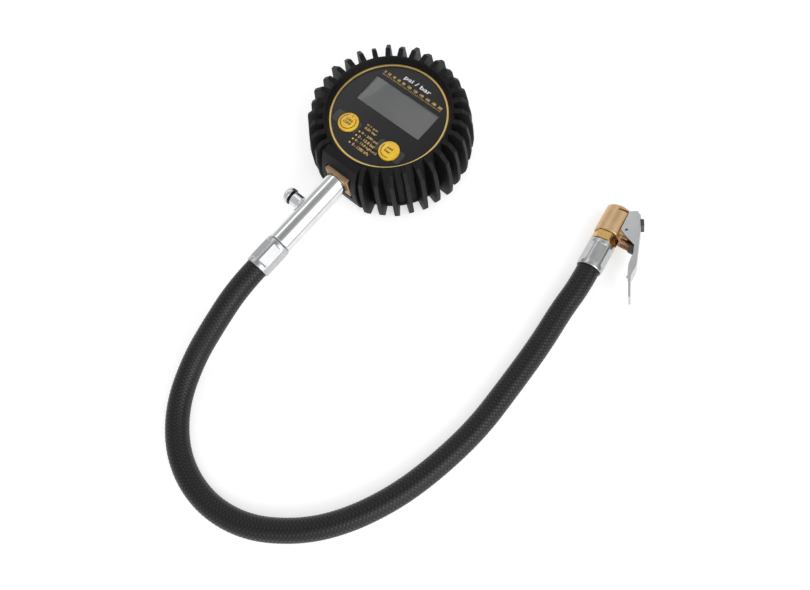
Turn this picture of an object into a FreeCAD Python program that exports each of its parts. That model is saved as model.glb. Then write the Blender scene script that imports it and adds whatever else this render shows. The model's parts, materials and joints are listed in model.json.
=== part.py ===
import FreeCAD, Part
import math
import os
from FreeCAD import Vector as V, Placement, Rotation, Matrix

os.makedirs("parts", exist_ok=True)

# Tyre inflator with gauge: a round digital gauge head in a ribbed rubber boot,
# a plated stem with a push-to-bleed valve, a braided hose and a clip-on chuck.
#
# Frame (mm): the head lies on its back on the plane Z = 0 with its centre on the
# Z axis, the top of the dial towards +Y, the stem along -Y.

# ---------------------------------------------------------------- dimensions
# boot
BOOT_R_BASE = 38.7          # wall between the ribs, at the back
BOOT_R_RIM = 35.7           # the same wall at the rim
BOOT_RIM_Z = 39.3
BOOT_BACK = 2.5             # thickness of the closed back
BOOT_CAVITY_R = 33.9
LIP_R = 33.4                # lip that holds the case in
LIP_Z = 33.5
RIB_COUNT = 34              # rib places round the head; three are taken by the hood
RIB_SKIP = (-1, 0, 1)
RIB_HALF = ((1.9, 1.4), (1.55, 1.02))      # half thickness at the root and the tip, at the back and at the front
RIB_TURN = [-0.2, 0.2, 0.5, 0.6, 0.5, 0.3, 0.6, 0.1, 0.0, -0.2, -0.4, -0.6, -0.9, -1.4, -2.0, -2.3, -1.9, -1.9, -1.9, -1.8, -1.2,
            -0.8, -0.5, -0.2, 0.3, 0.9, 0.8, 0.5, 0.2, -0.3, -0.8]     # degrees off the even pitch, from the second rib on
RIB_LONG = [0.4, -0.4, 0.35, -0.45, 0.2, -0.6, 0.1, -0.9, -0.5, -0.9, -0.5, -1.0, -0.8, -1.2, -1.2, 0.3, -0.35, 1.0, -0.15, 1.1, -0.1,
            1.1, -0.1, 1.0, -0.3, 0.6, -0.7, 0.0, -0.5, 0.2, -0.2]     # long and short ribs by turns, mm off the profile
RIB_PROFILE = [(35.2, 0.0), (45.0, 0.0), (47.0, 5.0), (47.6, 12.0), (46.8, 25.0),
               (45.1, 35.9), (40.2, 40.3), (35.6, 39.3), (35.2, 39.2)]
HOOD_HALF = 12.3
HOOD_PROFILE = [(-40.8, 0.0), (-44.0, 6.0), (-44.8, 14.0), (-44.6, 24.0),
                (-42.3, 33.0), (-39.6, 39.5), (-34.9, 39.3), (-30.0, 36.0), (-30.0, 0.0)]
HOOD_PORT = (8.8, 14.0, 32.5)      # half width, bottom, top of the port for the inlet block

# case
CASE_R = 33.8
CASE_WALL = 2.1
CASE_Z0, CASE_Z1 = 2.6, 31.0
CASE_FLOOR = 2.0
FLANGE_Z1 = 33.4
PLATE_Z0, PLATE_Z1 = 32.3, 34.3
PLATE_R = 32.0
RING_RI, RING_RO, RING_Z1 = 32.05, 33.15, 35.3
OVERLAY_T = 0.4
SCREW_PLACES = [(12.9, 24.3), (-12.9, 24.3), (23.8, -13.75), (-23.8, -13.75)]

# display
WINDOW = (45.0, 18.5)
WINDOW_C = (0.35, 7.2)
LENS = (46.6, 20.1)
LENS_Z0 = 33.35
LCD = (48.4, 21.2)
LCD_Z0, LCD_Z1 = 30.5, 33.3
PCB_R, PCB_Z0, PCB_T = 30.2, 24.0, 1.6

# face buttons
BUTTON_C = [(-14.8, -16.9), (14.8, -16.9)]
BUTTON_R = 5.92
BUTTON_HOLE_R = 6.0
BUTTON_FLANGE_R = 6.8
BUTTON_TOP = 35.9
BUTTON_TRAVEL = 0.3

# battery bay
BAY_C_Y = 4.0
BAY_X, BAY_Y = 24.1, 10.9
CELL_R, CELL_LEN = 5.2, 44.5
CELL_Z = 10.15

# inlet block, stem and bleed valve
STEM_Z = 24.5
BLOCK_HALF = 8.0
BLOCK_Z = (15.5, 32.0)
BLOCK_FRONT = 44.9
TUBE_R, TUBE_BORE = 6.8, 3.0
TUBE_END = 92.0
BLEED_Y = 67.3
BLEED_TRAVEL = 0.9

# hose and ferrules
HOSE_R = 6.25
HOSE_ID_R = 3.3
FERRULE_R, FERRULE_IR = 7.1, 6.3
FERRULE_1_END = 109.7
FLAT_DEPTH_R = 6.55
ROUTE = [(0.0, -109.7, 24.5), (0.0, -123.4, 24.5), (1.7, -143.2, 20.7), (2.7, -168.3, 10.2),
         (13.1, -192.7, 6.6), (32.7, -210.1, 6.3), (58.0, -216.7, 6.3), (83.6, -211.3, 6.3),
         (105.5, -195.3, 6.3), (120.4, -176.1, 6.3), (131.5, -151.7, 6.3), (137.7, -127.1, 6.3),
         (141.4, -99.6, 6.3), (140.8, -73.4, 6.3), (139.6, -45.4, 6.3), (136.8, -21.7, 6.5),
         (136.368, -7.184, 7.55), (134.488, 4.567, 7.55)]

# chuck: local axes are X out towards the lever, Y towards the mouth, Z across the lever
CHUCK_O = (131.63, 22.44, 7.55)
CHUCK_HEADING = 99.087      # degrees from +X to the mouth direction
CHUCK_ROLL = 14.0           # the lever side is rolled up off the table
FERRULE_2 = (-1.4, -18.1)   # local Y of its two ends
HEX_Y = (-0.9, 3.8)
CHUCK_R = 7.5
CHUCK_Y0, CHUCK_Y1 = 4.0, 20.4
GROOVE_Y = 8.1
MOUTH_R, MOUTH_DEPTH = 4.1, 9.0
SEAT_R = 4.6                # groove under the mouth that holds the washer
FLAT_X = 5.5
HEX_AF = 12.7
PIN_C = (9.04, 8.97)        # local X, Y
PIN_R = 0.8
EAR_IN, EAR_OUT = 3.8, 5.0
SHEET = 1.2
WEB = [(21.8, 9.9), (17.9, 12.6), (11.65, 15.8), (4.2, 18.2), (-6.05, 21.8),
       (-9.1, 22.4), (-14.6, 22.35), (-17.5, 23.5), (-25.9, 27.4)]      # (Y, X) outer line
EAR_EDGE = [(-14.4, 20.4), (-9.2, 18.5), (-5.2, 18.1), (-2.3, 18.0), (2.3, 16.4), (5.1, 10.85), (8.4, 6.15), (20.0, 5.75),
            (21.8, 9.2)]
EAR_TAB = [(-16.9, 22.6), (-17.1, 21.5), (-16.4, 20.5), (-14.9, 20.9)]      # small tab at the foot of the upper ear
SLOT_Y, SLOT_SLOPE = 17.9, 0.2      # middle of the claw's slot at X = 0.5, and its rise towards the web
SPRING_O, SPRING_DIR = (7.72, 3.3), (8.6, -1.2)
SPRING_LEN = 7.8
LEVER_TRAVEL = 14.0

# ---------------------------------------------------------------- helpers
nodes = {}


def keep(name, *shapes):
    solids = []
    for s in shapes:
        solids += s.Solids
    shape = solids[0] if len(solids) == 1 else Part.makeCompound(solids)
    nodes[name] = shape


def poly_face(points):
    pts = [V(*p) for p in points]
    return Part.Face(Part.makePolygon(pts + [pts[0]]))


def lathe(profile, base=(0, 0, 0), direction=(0, 0, 1)):
    """Solid of revolution: profile is (radius, height) pairs along direction from base."""
    face = poly_face([(r, 0, h) for r, h in profile])
    s = face.revolve(V(0, 0, 0), V(0, 0, 1), 360)
    s.Placement = Placement(V(*base), Rotation(V(0, 0, 1), V(*direction)))
    return s


def cyl(r, h, base=(0, 0, 0), direction=(0, 0, 1)):
    return Part.makeCylinder(r, h, V(*base), V(*direction))


def block(x0, x1, y0, y1, z0, z1):
    return Part.makeBox(x1 - x0, y1 - y0, z1 - z0, V(x0, y0, z0))


def prism(points_xy, z0, z1):
    return poly_face([(x, y, z0) for x, y in points_xy]).extrude(V(0, 0, z1 - z0))


def ring(ro, ri, z0, z1):
    return cyl(ro, z1 - z0, (0, 0, z0)).cut(cyl(ri, z1 - z0 + 2, (0, 0, z0 - 1)))


def fuse(first, *others):
    return first.fuse(list(others)).removeSplitter()


def fillet_some(shape, radius, test):
    edges = [e for e in shape.Edges if test(e)]
    if not edges:
        return shape
    try:
        out = shape.makeFillet(radius, edges)
        if out.isValid() and out.Solids:
            return out
    except Exception:
        pass
    return shape


def circle_at(e, z=None, r=None, tol=1e-3):
    c = e.Curve
    if not hasattr(c, "Radius") or not hasattr(c, "Center"):
        return False
    if z is not None and abs(c.Center.z - z) > tol:
        return False
    if r is not None and abs(c.Radius - r) > tol:
        return False
    return True


# ---------------------------------------------------------------- boot
wall = lathe([(0, 0), (BOOT_R_BASE, 0), (BOOT_R_RIM, BOOT_RIM_Z), (0, BOOT_RIM_Z)])
sections = []
for z, (root, tip) in zip((-1, 42), RIB_HALF):
    sections.append(Part.makePolygon([V(35.0, -root, z), V(48.5, -tip, z), V(48.5, tip, z), V(35.0, root, z), V(35.0, -root, z)]))
taper = Part.makeLoft(sections, True, True)


def rib_profile(long):
    """The rib's outline with its tip moved out by long: fully at the front corner, less towards the back."""
    out = []
    for r, z in RIB_PROFILE:
        share = 1.0 if z > 35.5 else 0.9 if long < 0 else 0.45
        out.append((r + long * share if r > 44 else r, z))
    return out


pitch = 360.0 / RIB_COUNT
ribs = []
for k in range(RIB_COUNT):
    if k in RIB_SKIP or k - RIB_COUNT in RIB_SKIP:
        continue
    r = poly_face([(x, 0, z) for x, z in rib_profile(RIB_LONG[k - 2])]).extrude(V(0, 4, 0))
    r.translate(V(0, -2, 0))
    r = r.common(taper)
    r.rotate(V(0, 0, 0), V(0, 0, 1), -90 + pitch * k + RIB_TURN[k - 2])
    ribs.append(r)
hood = poly_face([(-HOOD_HALF, y, z) for y, z in HOOD_PROFILE]).extrude(V(2 * HOOD_HALF, 0, 0))
inside = lathe([(0, BOOT_BACK), (BOOT_CAVITY_R, BOOT_BACK), (BOOT_CAVITY_R, LIP_Z), (LIP_R, LIP_Z),
                (LIP_R, 35.6), (34.9, BOOT_RIM_Z), (35.6, 41.0), (35.6, 45.0), (0, 45.0)])
boot = wall.fuse(ribs + [hood]).removeSplitter()
boot = boot.cut(inside)
boot = boot.cut(block(-HOOD_PORT[0], HOOD_PORT[0], -50, -30, HOOD_PORT[1], HOOD_PORT[2]))
keep("boot", boot)

# ---------------------------------------------------------------- rear case
case_ri = CASE_R - CASE_WALL
case = cyl(CASE_R, CASE_Z1 - CASE_Z0, (0, 0, CASE_Z0))
case = fillet_some(case, 1.0, lambda e: circle_at(e, CASE_Z0))
case = case.cut(cyl(case_ri, 40, (0, 0, CASE_Z0 + CASE_FLOOR)))
boss_z0, boss_z1 = CASE_Z0 + CASE_FLOOR, PCB_Z0
bosses = [cyl(2.6, boss_z1 - boss_z0 + 0.5, (x, y, boss_z0 - 0.5)) for x, y in SCREW_PLACES]
door_boss = cyl(2.3, 6.0, (0, -10.4, boss_z0 - 0.5))
case = case.fuse(bosses + [door_boss]).removeSplitter()
for x, y in SCREW_PLACES:
    case = case.cut(cyl(1.1, 40, (x, y, 0)))
    case = case.cut(cyl(2.3, 1.6, (x, y, CASE_Z0 - 0.2)))
case = case.cut(block(-BAY_X, BAY_X, BAY_C_Y - BAY_Y, BAY_C_Y + BAY_Y, 0, 5))
case = case.cut(block(-4.1, 4.1, -12.8, -6.0, 0, CASE_Z0 + 1.3))
case = case.cut(cyl(0.95, 7.0, (0, -10.4, 2.0)))
case = case.cut(block(-BLOCK_HALF - 0.2, BLOCK_HALF + 0.2, -40, -28.5, BLOCK_Z[0] - 0.2, 40))
keep("rear_case", case)

# battery door with its tab, set flush in the back of the case
door = block(-BAY_X + 0.15, BAY_X - 0.15, BAY_C_Y - BAY_Y + 0.15, BAY_C_Y + BAY_Y - 0.15, CASE_Z0, CASE_Z0 + 1.8)
door = fuse(door, block(-3.9, 3.9, -12.6, -6.0, CASE_Z0, CASE_Z0 + 1.2))
door = door.cut(cyl(1.0, 5, (0, -10.4, 1))).cut(cyl(1.9, 1.0, (0, -10.4, CASE_Z0 - 0.3)))
for i in range(6):
    y = BAY_C_Y - 5 + i * 2
    door = door.cut(block(-6, 6, y, y + 0.9, CASE_Z0 - 0.1, CASE_Z0 + 0.4))
keep("battery_door", door)
keep("door_screw", lathe([(0, 2.7), (1.8, 2.7), (1.8, 3.25), (0.9, 3.3), (0.9, 8.6), (0, 9.0)], (0, -10.4, 0)))

# battery bay: an open-bottomed box over the door
bay = block(-BAY_X - 1.1, BAY_X + 1.1, BAY_C_Y - BAY_Y - 1.0, BAY_C_Y + BAY_Y + 1.0, 4.65, 17.3)
bay = bay.cut(block(-BAY_X, BAY_X, BAY_C_Y - BAY_Y, BAY_C_Y + BAY_Y, 4.0, 15.9))
saddle = block(-8, 8, BAY_C_Y - 1.2, BAY_C_Y + 1.2, 12.6, 15.9)
for dy in (-5.4, 5.4):
    saddle = saddle.cut(cyl(CELL_R + 0.15, 30, (-15, BAY_C_Y + dy, CELL_Z), (1, 0, 0)))
bay = fuse(bay, saddle)
for x in (-BAY_X - 1.2, BAY_X - 0.1):
    for dy in (-5.4, 5.4):
        bay = bay.cut(block(x, x + 1.3, BAY_C_Y + dy - 1.6, BAY_C_Y + dy + 1.6, 15.0, 18.0))
keep("battery_bay", bay)

for name, dy, flip in (("battery_cell_front", -5.4, 1), ("battery_cell_rear", 5.4, -1)):
    cell = lathe([(0, 0), (CELL_R, 0), (CELL_R, CELL_LEN - 0.9), (1.9, CELL_LEN - 0.9), (1.9, CELL_LEN), (0, CELL_LEN)],
                 (-flip * CELL_LEN / 2, BAY_C_Y + dy, CELL_Z), (flip, 0, 0))
    keep(name, cell)

# contact plates: one strip with a bump for each cell, and tabs up to the board
for name, sx in (("contact_plate_left", -1), ("contact_plate_right", 1)):
    x_in, x_out = 23.6, 24.0
    bits = [block(min(sx * x_in, sx * x_out), max(sx * x_in, sx * x_out), BAY_C_Y - 9.5, BAY_C_Y + 9.5, 6.0, 14.9)]
    for dy in (-5.4, 5.4):
        xb = CELL_LEN / 2
        bits.append(cyl(2.2, x_in - xb + 0.1, (sx * xb, BAY_C_Y + dy, CELL_Z), (sx, 0, 0)))
        bits.append(block(min(sx * x_in, sx * x_out), max(sx * x_in, sx * x_out),
                          BAY_C_Y + dy - 1.2, BAY_C_Y + dy + 1.2, 14.8, PCB_Z0))
    keep(name, bits[0].fuse(bits[1:]).removeSplitter())
# slots in the bay roof already clear the tabs; open the roof over the strips too
bay2 = nodes["battery_bay"]
for sx in (-1, 1):
    bay2 = bay2.cut(block(min(sx * 23.4, sx * 24.2), max(sx * 23.4, sx * 24.2), BAY_C_Y - 7.0, BAY_C_Y + 7.0, 15.5, 18.0))
nodes["battery_bay"] = bay2.Solids[0]

# ---------------------------------------------------------------- front bezel
bezel = ring(CASE_R, 30.6, CASE_Z1, FLANGE_Z1)
bezel = bezel.fuse([cyl(PLATE_R, PLATE_Z1 - PLATE_Z0, (0, 0, PLATE_Z0)),
                    ring(31.6, 30.7, 28.5, CASE_Z1 + 0.2)]
                   + [cyl(2.4, PLATE_Z0 - PCB_Z0 - PCB_T + 0.2, (x, y, PCB_Z0 + PCB_T)) for x, y in SCREW_PLACES])
bezel = bezel.removeSplitter()
wx, wy = WINDOW[0] / 2, WINDOW[1] / 2
lx, ly = LENS[0] / 2, LENS[1] / 2
cx, cy = WINDOW_C
bezel = bezel.cut(block(cx - lx - 0.1, cx + lx + 0.1, cy - ly - 0.1, cy + ly + 0.1, 30, 36))
bezel = bezel.cut(block(cx - LCD[0] / 2 - 0.1, cx + LCD[0] / 2 + 0.1, cy - LCD[1] / 2 - 0.1, cy + LCD[1] / 2 + 0.1, 30, LENS_Z0))
for x, y in BUTTON_C:
    bezel = bezel.cut(cyl(BUTTON_HOLE_R, 6, (x, y, 31)))
for x, y in SCREW_PLACES:
    bezel = bezel.cut(cyl(0.95, 31.0 - PCB_Z0, (x, y, PCB_Z0)))
bezel = bezel.cut(block(-BLOCK_HALF - 0.2, BLOCK_HALF + 0.2, -40, -26.8, 20, BLOCK_Z[1] + 0.15))
bezel = bezel.cut(block(-11.5, 11.5, -40, -25.0, 20, 30.95))
keep("front_bezel", bezel)
bezel_ring = ring(RING_RO, RING_RI, FLANGE_Z1, RING_Z1)
bezel_ring = fillet_some(bezel_ring, 0.4, lambda e: circle_at(e, RING_Z1))
keep("bezel_ring", bezel_ring)

overlay = cyl(PLATE_R - 0.1, OVERLAY_T, (0, 0, PLATE_Z1))
overlay = overlay.cut(block(cx - wx, cx + wx, cy - wy, cy + wy, 33, 36))
for x, y in BUTTON_C:
    overlay = overlay.cut(cyl(BUTTON_HOLE_R + 0.05, 6, (x, y, 31)))
keep("face_overlay", overlay)
keep("display_lens", block(cx - lx, cx + lx, cy - ly, cy + ly, LENS_Z0, PLATE_Z1))
keep("display_panel", block(cx - LCD[0] / 2, cx + LCD[0] / 2, cy - LCD[1] / 2, cy + LCD[1] / 2, LCD_Z0, LCD_Z1))
holder = block(cx - 24.2, cx + 24.2, cy - 10.6, cy + 10.6, PCB_Z0 + PCB_T, LCD_Z0)
holder = holder.cut(block(cx - 21.5, cx + 21.5, cy - 8.4, cy + 7.4, 20, 35))
holder = holder.cut(block(cx - 20.3, cx + 20.3, cy + 8.2, cy + 10.0, 20, 35))
keep("display_holder", holder)
keep("contact_strip", block(cx - 20.2, cx + 20.2, cy + 8.25, cy + 9.95, PCB_Z0 + PCB_T, LCD_Z0))

# ---------------------------------------------------------------- circuit board
board = cyl(PCB_R, PCB_T, (0, 0, PCB_Z0))
board = board.cut(block(-11.2, 11.2, -40, -26.7, 20, 30))
board = board.cut(block(-6.9, 6.9, -40, -23.8, 20, 30))
for x, y in SCREW_PLACES:
    board = board.cut(cyl(1.2, 6, (x, y, 22)))
keep("circuit_board", board)
keep("controller_chip", block(-5.0, 5.0, -13.0, -3.0, PCB_Z0 - 1.4, PCB_Z0))
for name, (x, y) in zip(("switch_left", "switch_right"), BUTTON_C):
    zb = PCB_Z0 + PCB_T
    sw = fuse(block(x - 3, x + 3, y - 3, y + 3, zb, zb + 3.4), cyl(1.7, 0.5, (x, y, zb + 3.3)))
    keep(name, sw)

for name, (x, y) in zip(("button_left", "button_right"), BUTTON_C):
    prof = [(0, 29.75), (2.2, 29.75), (2.2, 31.2), (BUTTON_FLANGE_R, 31.2), (BUTTON_FLANGE_R, 32.25),
            (BUTTON_R, 32.25), (BUTTON_R, 35.1), (5.6, 35.4), (4.8, 35.62), (3.6, 35.78), (2.0, 35.87), (0, BUTTON_TOP)]
    keep(name, lathe(prof, (x, y, 0)))

screw_set = []
for x, y in SCREW_PLACES:
    screw_set.append(lathe([(0, 2.75), (2.05, 2.75), (2.05, 3.9), (1.0, 4.0), (0.95, 4.2), (0.95, 29.6), (0, 30.2)], (x, y, 0)))
keep("case_screws", *screw_set)

# ---------------------------------------------------------------- inlet block, sensor
# Heights in the lathe profiles below are distances from the head's axis, along -Y.
DOWN = (0, -1, 0)
AX = (0, 0, STEM_Z)
inlet = block(-BLOCK_HALF, BLOCK_HALF, -BLOCK_FRONT, -28.0, BLOCK_Z[0], BLOCK_Z[1])
inlet = fillet_some(inlet, 0.8, lambda e: abs(e.BoundBox.YMin + BLOCK_FRONT) < 1e-3 and abs(e.BoundBox.YMax + BLOCK_FRONT) < 1e-3)
inlet = fuse(inlet, block(-10.5, 10.5, -29.5, -27.5, 14.2, 30.5),
             lathe([(6.0, 44.0), (7.35, 44.0), (7.35, 45.15), (7.2, 45.3), (6.0, 45.3)], AX, DOWN))
inlet = inlet.cut(cyl(TUBE_R + 0.02, 3, (0, -BLOCK_FRONT, STEM_Z), DOWN))
inlet = inlet.cut(cyl(4.85, 60 - 36.6, (0, -36.6, STEM_Z), DOWN))
inlet = inlet.cut(cyl(2.0, 20, (0, -25, STEM_Z), DOWN))
inlet = inlet.cut(cyl(6.3, 32.5 - 20, (0, -20, STEM_Z), DOWN))
keep("inlet_block", inlet)
keep("pressure_sensor", lathe([(0, 25.5), (5.6, 25.5), (6.2, 26.0), (6.2, 31.25), (2.0, 31.25), (2.0, 30.2), (0, 30.2)], AX, DOWN))
keep("sensor_seal", Part.makeTorus(5.1, 0.6, V(0, -31.88, STEM_Z), V(0, 1, 0)))
keep("stem_seal", Part.makeTorus(4.15, 0.6, V(0, -37.25, STEM_Z), V(0, 1, 0)))
flex = poly_face([(-3, -25.5, 19.5), (-3, -25.5, 23.95), (-3, -17.5, 23.95), (-3, -17.5, 23.65),
                  (-3, -25.2, 23.65), (-3, -25.2, 19.5)]).extrude(V(6, 0, 0))
keep("sensor_ribbon", flex)

# ---------------------------------------------------------------- stem and bleed valve
stem = lathe([(TUBE_BORE, 37.9), (4.8, 37.9), (4.8, BLOCK_FRONT), (TUBE_R, BLOCK_FRONT), (TUBE_R, TUBE_END - 0.5),
              (TUBE_R - 0.5, TUBE_END), (4.0, TUBE_END), (4.0, 84.0), (TUBE_BORE, 84.0)], AX, DOWN)
stem = stem.cut(cyl(2.9, 12, (-1.0, -BLEED_Y, STEM_Z), (-1, 0, 0)))
keep("stem_tube", stem)

OUT = (-1, 0, 0)
BX = (0, -BLEED_Y, STEM_Z)
sleeve = lathe([(1.3, 3.6), (2.88, 3.6), (2.88, 6.0), (4.0, 6.0), (4.0, 12.1), (3.7, 12.4), (3.3, 12.4), (3.3, 7.4), (1.3, 7.4)], BX, OUT)
sleeve = sleeve.cut(cyl(TUBE_R, 30, (0, -BLEED_Y + 15, STEM_Z), DOWN).cut(cyl(2.89, 12, (-0.5, -BLEED_Y, STEM_Z), OUT)))
keep("bleed_sleeve", sleeve)
keep("bleed_button", lathe([(0, 9.6), (3.24, 9.6), (3.24, 13.6), (4.7, 13.6), (4.7, 15.6), (4.45, 16.5),
                            (3.8, 17.2), (2.6, 17.65), (0, 17.8)], BX, OUT))
pin = lathe([(0, 1.3), (2.1, 1.3), (2.1, 2.6), (0.9, 2.6), (0.9, 9.6), (0, 9.6)], BX, OUT)
keep("bleed_poppet", pin)
keep("bleed_seal", lathe([(0.92, 2.6), (2.1, 2.6), (2.1, 3.55), (0.92, 3.55)], BX, OUT))


def coil(radius, wire, height, turns, place):
    helix = Part.makeHelix(height / turns, height, radius)
    sec = Part.Wire(Part.makeCircle(wire / 2, V(radius, 0, 0), V(0, 1, 0)))
    s = Part.Wire(helix.Edges).makePipeShell([sec], True, True)
    s.Placement = place
    return s


keep("bleed_spring", coil(2.5, 0.45, 1.6, 2.0, Placement(V(-7.7, -BLEED_Y, STEM_Z), Rotation(V(0, 0, 1), V(*OUT)))))

# ---------------------------------------------------------------- ferrules, barbs, hose


def barb_profile(y0, y1, bore, r_small, r_big, n):
    """Outer line of a barbed spigot from y0 to y1 with n ridges, as (r, y)."""
    pts = [(r_small, y0)]
    step = (y1 - y0) / n
    for i in range(n):
        a = y0 + i * step
        pts += [(r_small, a + 0.15 * step), (r_big, a + 0.25 * step), (r_small, a + step)]
    return pts


def ferrule(length, turn):
    """Crimped sleeve from 0 (fitting end) to length (hose end), along +Z, its six flats set round by turn."""
    body = lathe([(4.7, 0.0), (FERRULE_R - 0.9, 0.0), (FERRULE_R - 0.25, 0.3), (FERRULE_R, 1.0), (FERRULE_R, length - 0.4),
                  (FERRULE_R - 0.2, length), (FERRULE_IR, length), (FERRULE_IR, 1.2), (4.7, 1.2)])
    for i in range(6):
        flat = block(FLAT_DEPTH_R, 9.0, -2.9, 2.9, 2.6, length - 2.6)
        flat = fillet_some(flat, 1.0, lambda e: abs(e.BoundBox.XLength - (9.0 - FLAT_DEPTH_R)) < 1e-3 and e.BoundBox.YLength < 1e-3)
        flat.rotate(V(0, 0, 0), V(0, 0, 1), 60 * i + turn)
        body = body.cut(flat)
    return body


def put(shape, place):
    s = shape.copy()
    s.Placement = place.multiply(s.Placement)
    return s


m = Matrix(1, 0, 0, 0, 0, 0, -1, -TUBE_END - 0.15, 0, 1, 0, STEM_Z, 0, 0, 0, 1)   # local Z to -Y
f1_place = Placement(m)
keep("ferrule_stem", put(ferrule(FERRULE_1_END - TUBE_END - 0.15, 58), f1_place))
barb1 = lathe([(1.8, 84.1), (3.98, 84.1), (3.98, 92.0), (4.6, 92.05), (4.6, 93.6)]
              + barb_profile(93.6, 107.0, 1.8, 2.75, HOSE_ID_R - 0.02, 4) + [(1.8, 107.0)], AX, DOWN)
keep("hose_barb_stem", barb1)
keep("hose_tail_stem", lathe([(HOSE_ID_R, 93.6), (FERRULE_IR - 0.02, 93.6), (FERRULE_IR - 0.02, FERRULE_1_END),
                              (HOSE_ID_R, FERRULE_1_END)], AX, DOWN))

# hose: straight runs joined by tangent arcs
pts = [V(*p) for p in ROUTE]
runs = [pts[i + 1] - pts[i] for i in range(len(pts) - 1)]
lens = [r.Length for r in runs]
edges = []
radii = []
total = 0.0
here = pts[0]
for i in range(1, len(pts) - 1):
    u = (pts[i - 1] - pts[i]).normalize()
    w = (pts[i + 1] - pts[i]).normalize()
    turn = math.pi - u.getAngle(w)
    rad = 0.45 * min(lens[i - 1], lens[i]) / math.tan(turn / 2)
    t = rad * math.tan(turn / 2)
    a, b = pts[i] + u * t, pts[i] + w * t
    bis = (u + w).normalize()
    mid = pts[i] + bis * (rad / math.cos(turn / 2) - rad)
    edges.append(Part.LineSegment(here, a).toShape())
    edges.append(Part.Arc(a, mid, b).toShape())
    total += (a - here).Length + rad * turn
    here = b
    radii.append(rad)
edges.append(Part.LineSegment(here, pts[-1]).toShape())
total += (pts[-1] - here).Length
path = Part.Wire(edges)
sec = Part.Wire(Part.makeCircle(HOSE_R, pts[0], runs[0]))
hose = path.makePipeShell([sec], True, False)
print("hose length %.2f, radii %s" % (total, ["%.1f" % r for r in radii]))
print("hose volume %.1f, section x length %.1f, valid %s" % (hose.Volume, math.pi * HOSE_R ** 2 * total, hose.isValid()))
print("runs", ["%.1f" % l for l in lens])
keep("hose", hose)

# ---------------------------------------------------------------- chuck
h = math.radians(CHUCK_HEADING)
ph = math.radians(CHUCK_ROLL)
ay = (math.cos(h), math.sin(h), 0.0)                      # towards the mouth
rx = (math.sin(h), -math.cos(h), 0.0)
ax_ = (rx[0] * math.cos(ph), rx[1] * math.cos(ph), math.sin(ph))
az_ = (-rx[0] * math.sin(ph), -rx[1] * math.sin(ph), math.cos(ph))
C = Placement(Matrix(ax_[0], ay[0], az_[0], CHUCK_O[0], ax_[1], ay[1], az_[1], CHUCK_O[1],
                     ax_[2], ay[2], az_[2], CHUCK_O[2], 0, 0, 0, 1))
print("chuck axes X %s Y %s Z %s" % tuple(tuple(round(v, 5) for v in q) for q in (ax_, ay, az_)))
UP = (0, 1, 0)

fy0, fy1 = FERRULE_2
ferrule_2 = ferrule(fy0 - fy1, 13)
ferrule_2.Placement = Placement(Matrix(1, 0, 0, 0, 0, 0, -1, fy0, 0, 1, 0, 0, 0, 0, 0, 1))
keep("ferrule_chuck", put(ferrule_2, C))
tail_2 = lathe([(HOSE_ID_R, fy1), (FERRULE_IR - 0.02, fy1), (FERRULE_IR - 0.02, fy0 - 1.5), (HOSE_ID_R, fy0 - 1.5)],
               (0, 0, 0), UP)
keep("hose_tail_chuck", put(tail_2, C))

insert = lathe([(1.8, -15.0)] + [(r, -y) for r, y in reversed(barb_profile(1.5 - fy0, 15.0, 1.8, 2.75, HOSE_ID_R - 0.02, 4))]
               + [(4.6, fy0 - 1.5), (4.6, fy0), (5.8, fy0 + 0.02), (5.8, CHUCK_Y0 - 0.02), (4.98, CHUCK_Y0), (4.98, GROOVE_Y - 0.1),
                  (1.8, GROOVE_Y - 0.1)], (0, 0, 0), UP)
hexagon = [(HEX_AF / math.sqrt(3) * math.cos(math.radians(60 * i)), HEX_AF / math.sqrt(3) * math.sin(math.radians(60 * i))) for i in range(6)]
nut = poly_face([(x, HEX_Y[0], z) for x, z in hexagon]).extrude(V(0, HEX_Y[1] - HEX_Y[0], 0))
nut = nut.common(lathe([(0, HEX_Y[0] - 0.1), (6.9, HEX_Y[0]), (7.34, HEX_Y[0] + 0.5), (7.34, HEX_Y[1] - 0.5), (6.9, HEX_Y[1]),
                        (0, HEX_Y[1] + 0.1)], (0, 0, 0), UP))
nut = nut.cut(cyl(3, 10, (0, -3, 0), UP))
insert = fuse(insert, nut)
keep("chuck_insert", put(insert, C))



def slot_mid(x):
    return SLOT_Y + SLOT_SLOPE * (x - 0.5)


def slot_line(x0, x1, below, above):
    """Outline of a strip along the claw's slot."""
    return [(x0, slot_mid(x0) - below), (x1, slot_mid(x1) - below), (x1, slot_mid(x1) + above), (x0, slot_mid(x0) + above)]


seat_y = CHUCK_Y1 - MOUTH_DEPTH                           # foot of the mouth, over the washer's groove
body = lathe([(MOUTH_R, seat_y), (SEAT_R, seat_y), (SEAT_R, GROOVE_Y), (5.02, GROOVE_Y), (5.02, CHUCK_Y0), (CHUCK_R - 0.4, CHUCK_Y0),
              (CHUCK_R, CHUCK_Y0 + 0.4), (CHUCK_R, CHUCK_Y1 - 0.5), (CHUCK_R - 0.5, CHUCK_Y1), (MOUTH_R, CHUCK_Y1)], (0, 0, 0), UP)
body = body.cut(block(FLAT_X, 9, 0, 30, -9, 9))
lug = prism([(4.9, 6.1), (10.4, 6.1), (11.0, 6.7), (11.0, 10.6), (10.0, 11.8), (4.9, 11.8)], -3.4, 3.4)
lug = lug.cut(cyl(5.1, 30, (0, 0, 0), UP))
body = body.fuse(lug).removeSplitter()
body = body.cut(cyl(PIN_R, 20, (PIN_C[0], PIN_C[1], -10)))
body = body.cut(prism(slot_line(0.5, 9.0, 0.5, 0.5), -9, 9))
body = body.cut(prism([(0.5, 17.4), (9.0, slot_mid(9.0) - 0.5), (9.0, 20.1), (5.5, 20.0), (4.4, 19.6), (3.0, 19.0), (0.5, 18.4)], -3.3, 3.3))
keep("chuck_body", put(body, C))
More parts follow.
